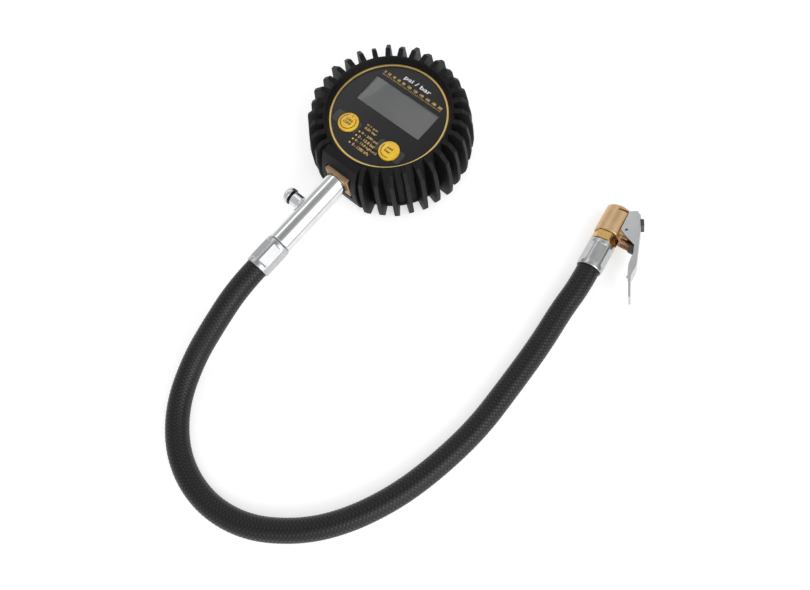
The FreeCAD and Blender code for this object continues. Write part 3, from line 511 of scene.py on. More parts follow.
def braided_tube(name):
    pts = LINE * 1000.0
    steps = np.linalg.norm(np.diff(pts, axis=0), axis=1)
    along = np.concatenate([[0.0], np.cumsum(steps)])
    length = along[-1]
    n_ring = int(length / 0.25) + 1
    n_side = 144
    s = np.linspace(0.0, length, n_ring)
    centre = np.stack([np.interp(s, along, pts[:, k]) for k in range(3)], 1)
    tangent = np.gradient(centre, s, axis=0)
    k = np.ones(9) / 9.0
    padded = np.pad(tangent, ((4, 4), (0, 0)), mode="edge")
    tangent = np.stack([np.convolve(padded[:, c], k, mode="valid") for c in range(3)], 1)
    tangent /= np.linalg.norm(tangent, axis=1, keepdims=True)
    side = np.zeros_like(centre)
    n = np.cross(tangent[0], [0.0, 0.0, 1.0])
    n /= np.linalg.norm(n)
    for i in range(n_ring):
        n = n - np.dot(n, tangent[i]) * tangent[i]
        n /= np.linalg.norm(n)
        side[i] = n
    other = np.cross(tangent, side)
    theta = np.arange(n_side) * 2 * math.pi / n_side
    t, ss = np.meshgrid(theta, s)
    u = CARRIERS * t / (2 * math.pi) + ss / PITCH
    v = CARRIERS * t / (2 * math.pi) - ss / PITCH
    a, b = u - np.floor(u), v - np.floor(v)
    sign = np.where((np.floor(u) + np.floor(v)) % 2 == 0, 1.0, -1.0)
    bulge = lambda x: np.sqrt(np.clip(1 - (2 * x - 1) ** 2 * 0.97, 0, 1))
    one = 0.58 * bulge(a) + 0.42 * sign * np.sin(math.pi * b)
    two = 0.58 * bulge(b) - 0.42 * sign * np.sin(math.pi * a)
    rise = np.clip(np.maximum(one, two), 0, 1)
    hand = (one > two).astype(float)
    radius = HOSE_R - RELIEF * (1 - rise)
    co = centre[:, None, :] + radius[:, :, None] * (np.cos(t)[:, :, None] * side[:, None, :] + np.sin(t)[:, :, None] * other[:, None, :])
    verts = (co.reshape(-1, 3)) * MM
    i, j = np.meshgrid(np.arange(n_ring - 1), np.arange(n_side), indexing="ij")
    j2 = (j + 1) % n_side
    quads = np.stack([i * n_side + j, i * n_side + j2, (i + 1) * n_side + j2, (i + 1) * n_side + j], -1).reshape(-1, 4)
    mesh = bpy.data.meshes.new(name)
    caps = [list(range(n_side))[::-1], [(n_ring - 1) * n_side + q for q in range(n_side)]]
    nv = len(verts)
    nq = len(quads)
    loops = np.concatenate([quads.ravel(), np.array(caps[0] + caps[1])]).astype(np.int32)
    starts = np.concatenate([np.arange(nq) * 4, [nq * 4, nq * 4 + n_side]]).astype(np.int32)
    mesh.vertices.add(nv)
    mesh.vertices.foreach_set("co", verts.astype(np.float32).ravel())
    mesh.loops.add(len(loops))
    mesh.loops.foreach_set("vertex_index", loops)
    mesh.polygons.add(nq + 2)
    mesh.polygons.foreach_set("loop_start", starts)
    mesh.update(calc_edges=True)
    mesh.validate()
    for label, values in (("rise", rise), ("hand", hand)):
        layer = mesh.attributes.new(label, "FLOAT", "POINT")
        layer.data.foreach_set("value", values.astype(np.float32).ravel())
    return mesh


hose = dress("hose_braided", braided_tube("hose_braided"), "hose_braid", ROOT, ("hose",), sharp=80.0, weighted=False)

# ---------------------------------------------------------------- boot
RIBS = 34
RIB_PROFILE = [(34.6, 0.25), (44.7, 0.25), (46.9, 5.0), (47.5, 12.0), (46.8, 25.0), (45.0, 35.8), (40.2, 40.2), (36.0, 39.7), (34.6, 38.2)]
RIB_TURN = [-0.2, 0.2, 0.5, 0.6, 0.5, 0.3, 0.6, 0.1, 0.0, -0.2, -0.4, -0.6, -0.9, -1.4, -2.0, -2.3, -1.9, -1.9, -1.9, -1.8, -1.2,
            -0.8, -0.5, -0.2, 0.3, 0.9, 0.8, 0.5, 0.2, -0.3, -0.8]     # degrees off the even pitch, from the second rib on
RIB_LONG = [0.4, -0.4, 0.35, -0.45, 0.2, -0.6, 0.1, -0.9, -0.5, -0.9, -0.5, -1.0, -0.8, -1.2, -1.2, 0.3, -0.35, 1.0, -0.15, 1.1, -0.1,
            1.1, -0.1, 1.0, -0.3, 0.6, -0.7, 0.0, -0.5, 0.2, -0.2]     # long and short ribs by turns, mm off the profile


def rib(long):
    bm = bmesh.new()
    sides = []
    for s in (-1, 1):
        row = []
        for r, z in RIB_PROFILE:
            if r > 44:
                r += long * (1.0 if z > 35.5 else 0.9 if long < 0 else 0.45)
            f, g = (r - 35.0) / 12.8, (z + 1.0) / 43.0
            half = (1.9 - 0.5 * f) * (1 - g) + (1.55 - 0.53 * f) * g
            row.append(bm.verts.new((r, s * half, z)))
        sides.append(row)
    bm.faces.new(sides[0])
    bm.faces.new(sides[1][::-1])
    n = len(RIB_PROFILE)
    for i in range(n):
        j = (i + 1) % n
        bm.faces.new((sides[0][i], sides[0][j], sides[1][j], sides[1][i]))
    bmesh.ops.recalc_face_normals(bm, faces=bm.faces)
    soften(bm, 0.42, 3, 12.0, lambda e: all(v.co.x > 34.7 for v in e.verts) or max(v.co.x for v in e.verts) > 36)
    return bm


def boot():
    shell = lathe([(0, 0), (37.2, 0), (38.3, 0.25), (38.75, 1.0), (38.62, 2.4), (37.9, 2.9), (36.0, 37.9), (35.9, 38.9), (35.55, 39.3), (34.95, 39.25),
                   (34.6, 38.9), (33.45, 35.8), (33.4, 35.2), (33.4, 33.5), (33.9, 33.5), (33.9, 2.5), (0, 2.5)], segments=204)
    ribs = []
    for k in range(RIBS):
        if k in (0, 1, RIBS - 1):
            continue
        bm = rib(RIB_LONG[k - 2])
        bm.transform(Matrix.Rotation(math.radians(-90 + 360.0 / RIBS * k + RIB_TURN[k - 2]), 4, "Z"))
        ribs.append(bm)
    hood_profile = [(-40.9, 0.25), (-44.0, 6.0), (-44.8, 14.0), (-44.6, 24.0), (-42.3, 33.0), (-39.7, 39.3), (-34.9, 39.3), (-30.0, 36.0), (-30.0, 0.25)]
    hood = bmesh.new()
    rows = [[hood.verts.new((s * 12.3, y, z)) for y, z in hood_profile] for s in (-1, 1)]
    hood.faces.new(rows[0])
    hood.faces.new(rows[1][::-1])
    for i in range(len(hood_profile)):
        j = (i + 1) % len(hood_profile)
        hood.faces.new((rows[0][i], rows[0][j], rows[1][j], rows[1][i]))
    bmesh.ops.recalc_face_normals(hood, faces=hood.faces)
    soften(hood, 0.5, 3, 14.0, lambda e: all(v.co.y < -34.0 for v in e.verts))
    hollow = lathe([(0, 2.5), (33.9, 2.5), (33.9, 33.5), (33.4, 33.5), (33.4, 35.2), (33.45, 35.8), (34.6, 38.9), (35.0, 40.0), (35.0, 46.0), (0, 46.0)], segments=204)
    port = soften(brick(-8.8, 8.8, -50, -30, 14.0, 32.5), 0.8, 3, 60.0, lambda e: abs(e.verts[0].co.y - e.verts[1].co.y) > 5)
    dish = lathe([(0, -1.0), (31.0, -1.0), (31.0, 0.0), (30.3, 0.7), (0, 0.7)], segments=120)
    return combine(shell, [("UNION", merged(*ribs)), ("UNION", hood), ("DIFFERENCE", hollow), ("DIFFERENCE", port), ("DIFFERENCE", dish)])


boot_obj = emit("boot_ribbed", boot(), "boot_rubber", ROOT, ("boot",), sharp=38.0)

# ---------------------------------------------------------------- dial
ring = lathe([(32.0, 33.4), (33.2, 33.4), (33.2, 35.1), (33.12, 35.22), (32.98, 35.28), (32.22, 35.28), (32.08, 35.22), (32.0, 35.1)],
             segments=240, ring=True)
emit("bezel_ring_gold", ring, "gold_trim", ROOT, ("bezel_ring",), sharp=60.0)

WIN = (-22.15, 22.85, -2.05, 16.45)
BUTTONS = [(-14.8, -16.9), (14.8, -16.9)]


def corner_loop(x0, x1, y0, y1, r, n=6):
    """Closed outline of a rectangle with round corners."""
    out = []
    for cx, cy, a0 in ((x1 - r, y1 - r, 0), (x0 + r, y1 - r, 90), (x0 + r, y0 + r, 180), (x1 - r, y0 + r, 270)):
        for i in range(n + 1):
            a = math.radians(a0 + 90 * i / n)
            out.append((cx + r * math.cos(a), cy + r * math.sin(a)))
    return out


def overlay():
    film = lathe([(0, 34.3), (31.9, 34.3), (31.9, 34.62), (31.82, 34.70), (0, 34.70)], segments=240)
    steps = [("DIFFERENCE", prism(corner_loop(*WIN, 0.7), 33.0, 36.0))]
    for x, y in BUTTONS:
        hole = lathe([(0, 33), (6.08, 33), (6.08, 36), (0, 36)], (x, y, 0), segments=96)
        steps.append(("DIFFERENCE", hole))
    return combine(film, steps)


emit("face_film", overlay(), "face_print", ROOT, ("face_overlay",), sharp=40.0)


def flat_shape(points, z, thick=0.02):
    return prism(points, z - 0.01, z + thick)


for tag, (x, y), dx in (("left", BUTTONS[0], -1.4), ("right", BUTTONS[1], 0.2)):
    pad = combine(prism(corner_loop(x + dx - 8.7, x + dx + 8.7, y - 3.6, y + 3.9, 1.6), 34.695, 34.712),
                  [("DIFFERENCE", lathe([(0, 33), (6.3, 33), (6.3, 36), (0, 36)], (x, y, 0), segments=96))])
    emit("button_pad_" + tag, pad, "print_grey", ROOT, weighted=False)


def letters(text, width, height, x, y, bold=0.0, align="LEFT", z=34.70, thick=0.03):
    """Lettering as a closed mesh in millimetres: its box is width by height and starts (or is centred) at x, y."""
    cu = bpy.data.curves.new("letters", "FONT")
    cu.body = text
    cu.size = 1.0
    cu.offset = bold
    cu.extrude = 0.01
    cu.resolution_u = 3
    o = bpy.data.objects.new("letters", cu)
    shelf.objects.link(o)
    bpy.context.view_layer.update()
    mesh = bpy.data.meshes.new_from_object(o.evaluated_get(bpy.context.evaluated_depsgraph_get()))
    bm = bmesh.new()
    bm.from_mesh(mesh)
    bpy.data.objects.remove(o)
    bpy.data.curves.remove(cu)
    bpy.data.meshes.remove(mesh)
    bmesh.ops.remove_doubles(bm, verts=bm.verts, dist=1e-5)
    xs = [v.co.x for v in bm.verts]
    ys = [v.co.y for v in bm.verts]
    sx = width / (max(xs) - min(xs)) if width else height / (max(ys) - min(ys))
    sy = height / (max(ys) - min(ys))
    x_mid = (max(xs) + min(xs)) / 2 if align == "CENTER" else min(xs)
    y_low = min(ys)
    for v in bm.verts:
        v.co.x = (v.co.x - x_mid) * sx + x
        v.co.y = (v.co.y - y_low) * sy + y
        v.co.z = z + (thick if v.co.z > 0 else -0.01)
    return bm


gold = [letters("0   20   40   60   80   100   120   140   160   180   200", 41.5, 1.55, -20.4, 19.9, 0.012)]
for i in range(41):
    x = -20.2 + i * 1.025
    tall = 1.0 if i % 4 == 0 else 0.6
    if x > 20.8:
        break
    gold.append(flat_shape([(x - 0.11, 18.9 - tall / 2), (x + 0.11, 18.9 - tall / 2), (x + 0.11, 18.9 + tall / 2), (x - 0.11, 18.9 + tall / 2)], 34.70, 0.03))
gold.append(letters("0.1 psi", 7.6, 1.5, -5.6, -12.3, 0.006))
gold.append(letters("0.01 bar", 8.2, 1.5, -5.2, -14.4, 0.006))
for text, width, y in (("0 - 200 psi", 11.4, -18.2), ("0 - 13.8 bar", 11.9, -20.9), ("0 - 13.8 kgf/cm2", 15.2, -23.7), ("0 - 1380 kPa", 11.6, -26.4)):
    gold.append(letters(text, width, 1.75, -4.6 if y > -25 else -4.2, y, 0.006))
    gold.append(flat_shape([(-6.6, y + 0.3), (-5.7, y + 0.3), (-5.7, y + 1.2), (-6.6, y + 1.2)], 34.70, 0.03))
emit("dial_print_gold", merged(*gold), "print_gold", ROOT, weighted=False)
emit("dial_print_white", letters("psi / bar", 18.4, 3.3, 0.6, 22.6, 0.012, "CENTER"), "print_white", ROOT, weighted=False)

# ---------------------------------------------------------------- buttons
DOME = [(0.0, 35.9), (2.0, 35.87), (3.6, 35.78), (4.8, 35.62), (5.6, 35.4), (5.92, 35.1)]


def dome_z(r):
    for (r0, z0), (r1, z1) in zip(DOME, DOME[1:]):
        if r <= r1:
            return z0 + (z1 - z0) * (r - r0) / (r1 - r0)
    return 35.1


def arc_mark(cx, cy, r0, r1, a0, a1, n=40):
    bm = bmesh.new()
    rows = []
    for i in range(n + 1):
        a = math.radians(a0 + (a1 - a0) * i / n)
        row = []
        for r, lift in ((r0, -0.01), (r0, 0.03), (r1, 0.03), (r1, -0.01)):
            row.append(bm.verts.new((cx + r * math.cos(a), cy + r * math.sin(a), dome_z(r) + lift)))
        rows.append(row)
    for a, b in zip(rows, rows[1:]):
        for i in range(4):
            j = (i + 1) % 4
            bm.faces.new((a[i], b[i], b[j], a[j]))
    bm.faces.new(rows[0])
    bm.faces.new(rows[-1][::-1])
    return bm


def on_dome(bm, cx, cy):
    for v in bm.verts:
        r = math.hypot(v.co.x - cx, v.co.y - cy)
        v.co.z = dome_z(r) + (0.03 if v.co.z > 0.01 else -0.01)
    return bm


for tag, (x, y) in zip(("left", "right"), BUTTONS):
    cap = lathe([(0, 29.75), (2.2, 29.75), (2.2, 31.2), (6.8, 31.2), (6.8, 32.2), (5.92, 32.2), (5.92, 35.0), (5.86, 35.2), (5.66, 35.38),
                 (5.3, 35.44), (5.05, 35.42), (4.95, 35.50), (4.6, 35.62), (3.6, 35.76), (2.0, 35.86), (0, 35.89)], (x, y, 0), segments=120)
    emit("button_cap_" + tag, cap, "button_yellow", tag + "_button", ("button_" + tag,), sharp=50.0)
    marks = []
    if tag == "left":
        marks.append(arc_mark(x, y, 4.15, 4.55, 125, 415))
        marks.append(on_dome(letters("I", 0, 1.6, x + 0.0, y + 3.3, 0.02, "CENTER", 0.0, 0.05), x, y))
        marks.append(on_dome(letters("ON", 4.2, 1.55, x, y + 0.35, 0.03, "CENTER", 0.0, 0.05), x, y))
        marks.append(on_dome(letters("OFF", 5.2, 1.55, x, y - 1.75, 0.03, "CENTER", 0.0, 0.05), x, y))
    else:
        marks.append(arc_mark(x, y, 4.15, 4.55, 160, 300))
        marks.append(on_dome(letters("psi", 3.6, 1.7, x, y + 0.25, 0.03, "CENTER", 0.0, 0.05), x, y))
        marks.append(on_dome(letters("bar", 4.2, 1.5, x, y - 1.75, 0.03, "CENTER", 0.0, 0.05), x, y))
    emit("button_mark_" + tag, merged(*marks), "print_dark", tag + "_button", weighted=False)

# ---------------------------------------------------------------- springs


def coil(radius, wire, height, turns, n_round=14, per_turn=28):
    bm = bmesh.new()
    rings = []
    total = int(turns * per_turn)
    for i in range(total + 1):
        a = 2 * math.pi * i / per_turn
        c = Vector((radius * math.cos(a), radius * math.sin(a), height * i / total))
        t = Vector((-radius * math.sin(a), radius * math.cos(a), height / (2 * math.pi * turns))).normalized()
        n = Vector((math.cos(a), math.sin(a), 0))
        b = t.cross(n)
        rings.append([bm.verts.new(c + wire / 2 * (n * math.cos(2 * math.pi * k / n_round) + b * math.sin(2 * math.pi * k / n_round))) for k in range(n_round)])
    for a, b in zip(rings, rings[1:]):
        for i in range(n_round):
            j = (i + 1) % n_round
            bm.faces.new((a[i], a[j], b[j], b[i]))
    bm.faces.new(rings[0][::-1])
    bm.faces.new(rings[-1])
    return bm


# ---------------------------------------------------------------- stem
DOWN = (0, -1, 0)
AX = (0, 0, 24.5)
block_bm = soften(brick(-8.0, 8.0, -44.9, -34.0, 15.5, 32.0), 0.8, 4, 60.0)
collar = lathe([(5.0, 43.0), (7.35, 43.0), (7.35, 45.1), (7.3, 45.24), (7.16, 45.3), (6.98, 45.26), (6.86, 45.1), (6.85, 44.95), (5.0, 44.95)],
               AX, DOWN, 128, ring=True)
block_bm = combine(block_bm, [("UNION", collar), ("DIFFERENCE", lathe([(0, 44.5), (6.84, 44.5), (6.84, 60.0), (0, 60.0)], AX, DOWN, 128))])
emit("inlet_block_turned", block_bm, "brass_block", ROOT, ("inlet_block",), sharp=40.0)

tube = lathe([(0, 40.0), (4.8, 40.0), (4.8, 44.9), (6.2, 44.9), (6.55, 45.0), (6.78, 45.5), (6.8, 46.0), (6.8, 47.0), (6.8, 60.0), (6.8, 75.0),
              (6.8, 90.9), (6.75, 91.35), (6.55, 91.8), (6.2, 92.0), (4.4, 92.0), (4.2, 91.7), (0, 91.7)], AX, DOWN, 160)
emit("stem_plated", tube, "chrome", ROOT, ("stem_tube",), sharp=50.0)

OUT = (-1, 0, 0)
BX = (0, -67.3, 24.5)
sleeve = lathe([(1.32, 5.2), (4.5, 5.2), (4.35, 5.9), (4.12, 6.5), (4.0, 7.1), (4.0, 11.9), (3.94, 12.2), (3.75, 12.38), (3.5, 12.4), (3.32, 12.25),
                (3.3, 7.42), (1.32, 7.42)], BX, OUT, 96, ring=True)
emit("bleed_sleeve_plated", sleeve, "chrome_soft", ROOT, ("bleed_sleeve",), sharp=50.0)
press = lathe([(0, 9.6), (3.0, 9.6), (3.24, 9.8), (3.24, 13.62), (4.35, 13.62), (4.58, 13.7), (4.7, 13.95), (4.7, 15.3), (4.62, 15.9), (4.4, 16.5),
               (4.0, 17.0), (3.4, 17.4), (2.6, 17.63), (1.4, 17.77), (0, 17.8)], BX, OUT, 96)
press.faces.ensure_lookup_table()
# the neck and the underside of the head take near-black rubber: painted shade in the gap between head and sleeve
for f in press.faces:
    c = f.calc_center_median()
    if -13.66 < c.x < -9.9:
        f.material_index = 1
emit("bleed_button_domed", press, ("chrome_soft", "seal_rubber"), "bleed_valve", ("bleed_button",), sharp=50.0)

# the valve's spring is squeezed between the sleeve and the button
valve_spring = coil(2.5, 0.45, 1.6, 2.0)
valve_spring.transform(basis((-7.7, -67.3, 24.5), OUT))
valve_spring_obj = emit("bleed_spring_coil", valve_spring, "spring_steel", None, ("bleed_spring",), sharp=60.0, weighted=False)
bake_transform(valve_spring_obj)

# ---------------------------------------------------------------- ferrules


def ferrule(length, turn=0.0, n_side=216):
    """Crimped sleeve along +Z: round ends, six pressed flats with soft borders."""
    rows_h = [0.0, 0.12, 0.3, 0.55, 0.8] + [round(0.8 + (length - 1.4) * i / 84, 4) for i in range(1, 85)] + [length - 0.35, length - 0.12, length]
    bm = bmesh.new()

    def skin(h):
        if h < 0.8:
            t = h / 0.8
            return 6.35 + 0.75 * math.sqrt(max(0.0, 1 - (1 - t) ** 2))
        if h > length - 0.6:
            t = (h - (length - 0.6)) / 0.6
            return 7.1 - 0.25 * t * t
        return 7.1

    def press_in(theta, h):
        out = skin(h)
        for k in range(6):
            d = (theta - turn - math.radians(60 * k + 30) + math.pi) % (2 * math.pi) - math.pi
            if abs(d) > math.radians(30):
                continue
            w = abs(7.0 * math.sin(d))
            x = w - 2.75
            y = abs(h - length / 2) - (length / 2 - 2.75)
            rr = 1.1
            qx, qy = max(x + rr, 0.0), max(y + rr, 0.0)
            dist = math.hypot(qx, qy) + min(max(x + rr, y + rr), 0.0) - rr
            t = min(1.0, max(0.0, 0.5 - dist / 0.9))
            t = t * t * (3 - 2 * t)
            flat = 6.5 / math.cos(d)
            out = out + (min(flat, out) - out) * t
        return out

    rings = []
    for h in rows_h:
        rings.append([bm.verts.new((press_in(2 * math.pi * i / n_side, h) * math.cos(2 * math.pi * i / n_side),
                                    press_in(2 * math.pi * i / n_side, h) * math.sin(2 * math.pi * i / n_side), h)) for i in range(n_side)])
    for r, h in ((6.45, length), (6.3, length - 0.12), (6.3, 1.3), (4.7, 1.2), (4.7, 0.0), (6.1, 0.0)):
        rings.append([bm.verts.new((r * math.cos(2 * math.pi * i / n_side), r * math.sin(2 * math.pi * i / n_side), h)) for i in range(n_side)])
    for a, b in list(zip(rings, rings[1:])) + [(rings[-1], rings[0])]:
        for i in range(n_side):
            j = (i + 1) % n_side
            bm.faces.new((a[i], a[j], b[j], b[i]))
    return bm


down_place = Matrix(((1, 0, 0, 0), (0, 0, -1, -92.15 * MM), (0, 1, 0, 24.5 * MM), (0, 0, 0, 1)))
emit("ferrule_stem_crimped", ferrule(17.55, math.radians(28)), "ferrule_zinc", ROOT, ("ferrule_stem",), place=down_place, sharp=50.0, weighted=False)

# ---------------------------------------------------------------- chuck: X out to the lever, Y to the mouth, Z across
h_ = math.radians(99.087)
ph = math.radians(14.0)
cy_ = Vector((math.cos(h_), math.sin(h_), 0.0))
rx_ = Vector((math.sin(h_), -math.cos(h_), 0.0))
cx_ = rx_ * math.cos(ph) + Vector((0, 0, math.sin(ph)))
cz_ = cx_.cross(cy_)
CH = Matrix((cx_, cy_, cz_)).transposed().to_4x4()
CH.translation = Vector((131.63, 22.44, 7.55)) * MM
UPY = (0, 1, 0)

ferrule_place = CH @ Matrix(((1, 0, 0, 0), (0, 0, -1, -1.4 * MM), (0, 1, 0, 0), (0, 0, 0, 1)))
emit("ferrule_chuck_crimped", ferrule(16.7, math.radians(-17)), "ferrule_zinc", ROOT, ("ferrule_chuck",), place=ferrule_place, sharp=50.0, weighted=False)

hexagon = [(7.333 * math.cos(math.radians(60 * i)), 7.333 * math.sin(math.radians(60 * i))) for i in range(6)]
nut = bmesh.new()
lo_ring = [nut.verts.new((x, -0.9, z)) for x, z in hexagon]
hi_ring = [nut.verts.new((x, 3.8, z)) for x, z in hexagon]
nut.faces.new(lo_ring)
nut.faces.new(hi_ring[::-1])
for i in range(6):
    j = (i + 1) % 6
    nut.faces.new((lo_ring[i], hi_ring[i], hi_ring[j], lo_ring[j]))
bmesh.ops.recalc_face_normals(nut, faces=nut.faces)
soften(nut, 0.15, 2, 30.0, lambda e: abs(e.verts[0].co.y - e.verts[1].co.y) > 1)
chamfer = lathe([(0, -1.0), (6.7, -0.9), (7.34, -0.45), (7.34, 3.35), (6.7, 3.8), (0, 3.9)], (0, 0, 0), UPY, 144)
neck = lathe([(0, -1.38), (5.8, -1.38), (5.8, 3.98), (4.98, 4.0), (4.98, 8.0), (0, 8.0)], (0, 0, 0), UPY, 96)
insert = combine(nut, [("INTERSECT", chamfer), ("UNION", neck)])
emit("chuck_insert_hex", insert, "brass_hex", ROOT, ("chuck_insert",), place=CH, sharp=28.0)

PIN = (9.04, 8.97)
body_bm = lathe([(4.1, 11.4), (4.6, 11.4), (4.6, 8.1), (5.02, 8.1), (5.02, 4.0), (7.05, 4.0), (7.3, 4.08), (7.45, 4.25), (7.5, 4.5), (7.5, 19.85), (7.42, 20.1),
                 (7.25, 20.3), (7.0, 20.4), (4.5, 20.4), (4.2, 20.32), (4.1, 20.1)], (0, 0, 0), UPY, 144, ring=True)
lug = prism([(4.9, 6.1), (10.4, 6.1), (11.0, 6.7), (11.0, 10.6), (10.0, 11.8), (4.9, 11.8)], -3.4, 3.4)
soften(lug, 0.35, 2, 30.0, lambda e: all(v.co.x > 5.0 for v in e.verts))
lug = combine(lug, [("DIFFERENCE", lathe([(0, 0), (5.1, 0), (5.1, 30), (0, 30)], (0, 0, 0), UPY, 96))])
pin_hole = lathe([(0, -10), (0.8, -10), (0.8, 10), (0, 10)], (PIN[0], PIN[1], 0), (0, 0, 1), 48)


def slot_mid(x):
    """Height of the middle of the claw's slot, which rises towards the lever."""
    return 17.9 + 0.2 * (x - 0.5)


def slot_line(x0, x1, half):
    return [(x0, slot_mid(x0) - half), (x1, slot_mid(x1) - half), (x1, slot_mid(x1) + half), (x0, slot_mid(x0) + half)]


wide_slot = [(0.5, 17.4), (9.0, slot_mid(9.0) - 0.5), (9.0, 20.1), (5.5, 20.0), (4.4, 19.6), (3.0, 19.0), (0.5, 18.4)]
body_bm = combine(body_bm, [("DIFFERENCE", brick(5.5, 9.0, -1, 30, -9, 9)), ("UNION", lug), ("DIFFERENCE", pin_hole),
                            ("DIFFERENCE", prism(slot_line(0.5, 9.0, 0.5), -9, 9)), ("DIFFERENCE", prism(wide_slot, -3.3, 3.3))])
emit("chuck_body_turned", body_bm, "brass", ROOT, ("chuck_body",), place=CH, sharp=35.0)

# lever: folded sheet
WEB = [(21.8, 9.9), (17.9, 12.6), (11.65, 15.8), (4.2, 18.2), (-6.05, 21.8), (-9.1, 22.4), (-14.6, 22.35), (-17.5, 23.5), (-25.9, 27.4)]
EAR_EDGE = [(-14.4, 20.4), (-9.2, 18.5), (-5.2, 18.1), (-2.3, 18.0), (2.3, 16.4), (5.1, 10.85), (8.4, 6.15), (20.0, 5.75), (21.8, 9.2)]
EAR_TAB = [(-14.6, 22.33), (-16.9, 22.6), (-17.1, 21.5), (-16.4, 20.5), (-14.9, 20.9), (-13.5, 20.4), (-13.5, 21.5)]


def xy(points):
    return [(x, y) for y, x in points]


def offset(points, d):
    out = []
    for i, p in enumerate(points):
        ds = []
        if i:
            ds.append((p[0] - points[i - 1][0], p[1] - points[i - 1][1]))
        if i < len(points) - 1:
            ds.append((points[i + 1][0] - p[0], points[i + 1][1] - p[1]))
        ns = []
        for a, b in ds:
            length = math.hypot(a, b)
            ns.append((-b / length, a / length))
        nx, ny = sum(n[0] for n in ns) / len(ns), sum(n[1] for n in ns) / len(ns)
        l2 = nx * nx + ny * ny
        out.append((p[0] + d * nx / l2, p[1] + d * ny / l2))
    return out


def lever():
    inner = offset(WEB, 1.2)
    outline = WEB[:7] + EAR_EDGE
    solid = combine(prism(xy(outline), -5.0, 5.0), [("UNION", prism(xy(WEB[5:] + inner[5:][::-1]), -4.999, 4.999))])
    tidy(solid, 0.01, 1.0)
    web_line = [Vector((x, y)) for y, x in WEB]

    def near_web(v):
        p = Vector((v.co.x, v.co.y))
        for a, b in zip(web_line, web_line[1:]):
            d = b - a
            t = max(0.0, min(1.0, (p - a).dot(d) / d.length_squared))
            if (a + d * t - p).length < 0.05:
                return True
        return False

    soften(solid, 1.5, 6, 50.0, lambda e: all(near_web(v) and abs(abs(v.co.z) - 5.0) < 0.01 and v.co.y > -15 for v in e.verts)
           and abs(e.verts[0].co.z - e.verts[1].co.z) < 0.01)
    cavity = xy(inner) + [(-3.0, inner[-1][0]), (-3.0, 30.0), (inner[0][1] - 0.4, 30.0)]
    steps = [("DIFFERENCE", prism(cavity, -3.8, 3.8)),
             ("DIFFERENCE", lathe([(0, -10), (0.85, -10), (0.85, 10), (0, 10)], (PIN[0], PIN[1], 0), (0, 0, 1), 48)),
             ("DIFFERENCE", prism(slot_line(8.0, 15.0, 0.45), -3.1, 3.1)), ("UNION", prism(xy(EAR_TAB), 3.85, 4.95))]
    return combine(solid, steps)


lever_bm = lever()
lever_obj = emit("lever_folded", lever_bm, "lever_steel", "chuck_lever", ("lever",), place=CH, sharp=30.0)

pin = lathe([(0, -5.12), (0.6, -5.12), (0.78, -5.0), (0.78, 5.0), (0.66, 5.12), (0.46, 5.12), (0.36, 4.95), (0, 4.85)], (PIN[0], PIN[1], 0), (0, 0, 1), 48)
# the dimple in the pin's head takes near-black rubber: painted shade in the recess
for f in pin.faces:
    f.material_index = 1 if f.calc_center_median().z > 4.8 and math.hypot(f.calc_center_median().x - PIN[0], f.calc_center_median().y - PIN[1]) < 0.5 else 0
emit("pivot_pin_dimpled", pin, ("pin_steel", "seal_rubber"), ROOT, ("pivot_pin",), place=CH, sharp=40.0)

# lever spring: a straight coil between the body and the lever
SPRING_O = Vector((7.72, 3.3, 0))
SPRING_LEN = 7.8
spring_axis = Vector((8.6, -1.2, 0)).normalized()
spring_bm = coil(2.2, 0.7, SPRING_LEN, 9.0)
spring_bm.transform(basis(SPRING_O, spring_axis))
spring_obj = emit("lever_spring_coil", spring_bm, "spring_brass", None, ("lever_spring",), place=CH, sharp=60.0, weighted=False)
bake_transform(spring_obj)

# ---------------------------------------------------------------- floor and light
floor_bm = bmesh.new()
hub = floor_bm.verts.new((0.06, -0.08, -0.00015))
last = None
for reach in (0.3, 0.7, 1.5, 4.0, 10.0, 30.0):
    circle = [floor_bm.verts.new((0.06 + reach * math.cos(math.pi * i / 48), -0.08 + reach * math.sin(math.pi * i / 48), -0.00015)) for i in range(96)]
    for i in range(96):
        j = (i + 1) % 96
        floor_bm.faces.new((hub, circle[i], circle[j]) if last is None else (last[i], circle[i], circle[j], last[j]))
    last = circle
floor_mesh = bpy.data.meshes.new("floor")
floor_bm.to_mesh(floor_mesh)
floor_bm.free()
floor_mat, floor_nt, floor_bsdf = tree("floor_pale")
f_noise = noise(floor_nt, coords(floor_nt), 0.004, 2.0, 0.5)
floor_nt.links.new(tint(floor_nt, f_noise, [(0.3, (0.61, 0.61, 0.61)), (0.7, (0.63, 0.63, 0.63))]), floor_bsdf.inputs["Base Color"])
floor_bsdf.inputs["Roughness"].default_value = 0.9
floor_bsdf.inputs["Specular IOR Level"].default_value = 0.1
floor_bsdf.inputs["Emission Color"].default_value = (1.0, 1.0, 1.0, 1.0)
floor_bsdf.inputs["Emission Strength"].default_value = 0.56
floor_mesh.materials.append(floor_mat)
floor = bpy.data.objects.new("floor", floor_mesh)
shelf.objects.link(floor)


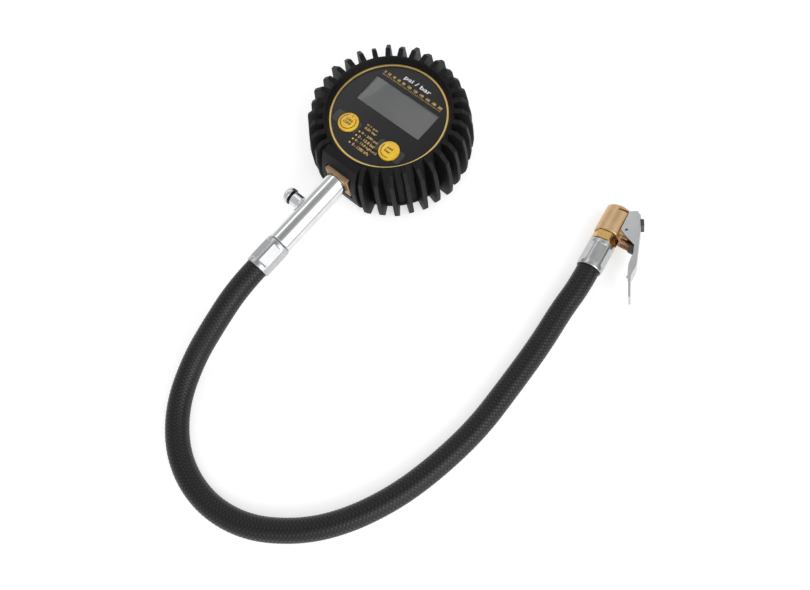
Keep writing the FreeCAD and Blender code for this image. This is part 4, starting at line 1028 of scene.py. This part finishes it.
def softbox(name, at, aim, size, power):
    data = bpy.data.lights.new(name, "AREA")
    data.shape = "RECTANGLE"
    data.size, data.size_y = size
    data.energy = power
    o = bpy.data.objects.new(name, data)
    shelf.objects.link(o)
    o.location = at
    o.rotation_mode = "QUATERNION"
    o.rotation_quaternion = (Vector(aim) - Vector(at)).to_track_quat("-Z", "Y")
    return o


CENTRE = (0.06, -0.08, 0.0)
softbox("key", (0.85, -0.24, 0.57), (0.03, -0.09, 0.0), (1.2, 1.3), 4.7)
softbox("core", (0.77, -0.25, 0.58), (0.03, -0.09, 0.0), (0.34, 0.34), 1.5)
softbox("side", (-0.66, 0.12, 0.76), (0.03, -0.09, 0.0), (1.2, 0.28), 1.1)

world = bpy.data.worlds.new("studio")
world.use_nodes = True
wnt = world.node_tree
bg = wnt.nodes["Background"]
wtc = wnt.nodes.new("ShaderNodeTexCoord")
wsep = wnt.nodes.new("ShaderNodeSeparateXYZ")
wnt.links.new(wtc.outputs["Generated"], wsep.inputs["Vector"])
wr = wnt.nodes.new("ShaderNodeValToRGB")
els = wr.color_ramp.elements
els[0].position, els[0].color = 0.0, (0.92, 0.92, 0.92, 1)
els[1].position, els[1].color = 1.0, (0.34, 0.34, 0.345, 1)
for at, level in ((0.60, 0.92), (0.80, 0.84), (0.87, 0.72), (0.94, 0.56), (0.985, 0.43)):
    mid = els.new(at)
    mid.color = (level, level, level, 1)
wnt.links.new(wsep.outputs["Z"], wr.inputs["Fac"])
half = ramp(wnt, wsep.outputs["X"], -0.6, 0.45, 0.66, 1.06)         # the side away from the key is a little darker
wmix = wnt.nodes.new("ShaderNodeVectorMath")
wmix.operation = "SCALE"
toward = wnt.nodes.new("ShaderNodeVectorMath")                      # a dark stretch of studio low on one side
toward.operation = "DOT_PRODUCT"
wnt.links.new(wtc.outputs["Generated"], toward.inputs[0])
toward.inputs[1].default_value = (0.80, 0.57, 0.19)
gap = ramp(wnt, toward.outputs["Value"], 0.87, 0.96, 1.0, 0.12)
wnt.links.new(wr.outputs["Color"], wmix.inputs[0])
wnt.links.new(math_node(wnt, "MULTIPLY", half, gap), wmix.inputs["Scale"])
wnt.links.new(wmix.outputs["Vector"], bg.inputs["Color"])
bg.inputs["Strength"].default_value = 1.0
scene.world = world
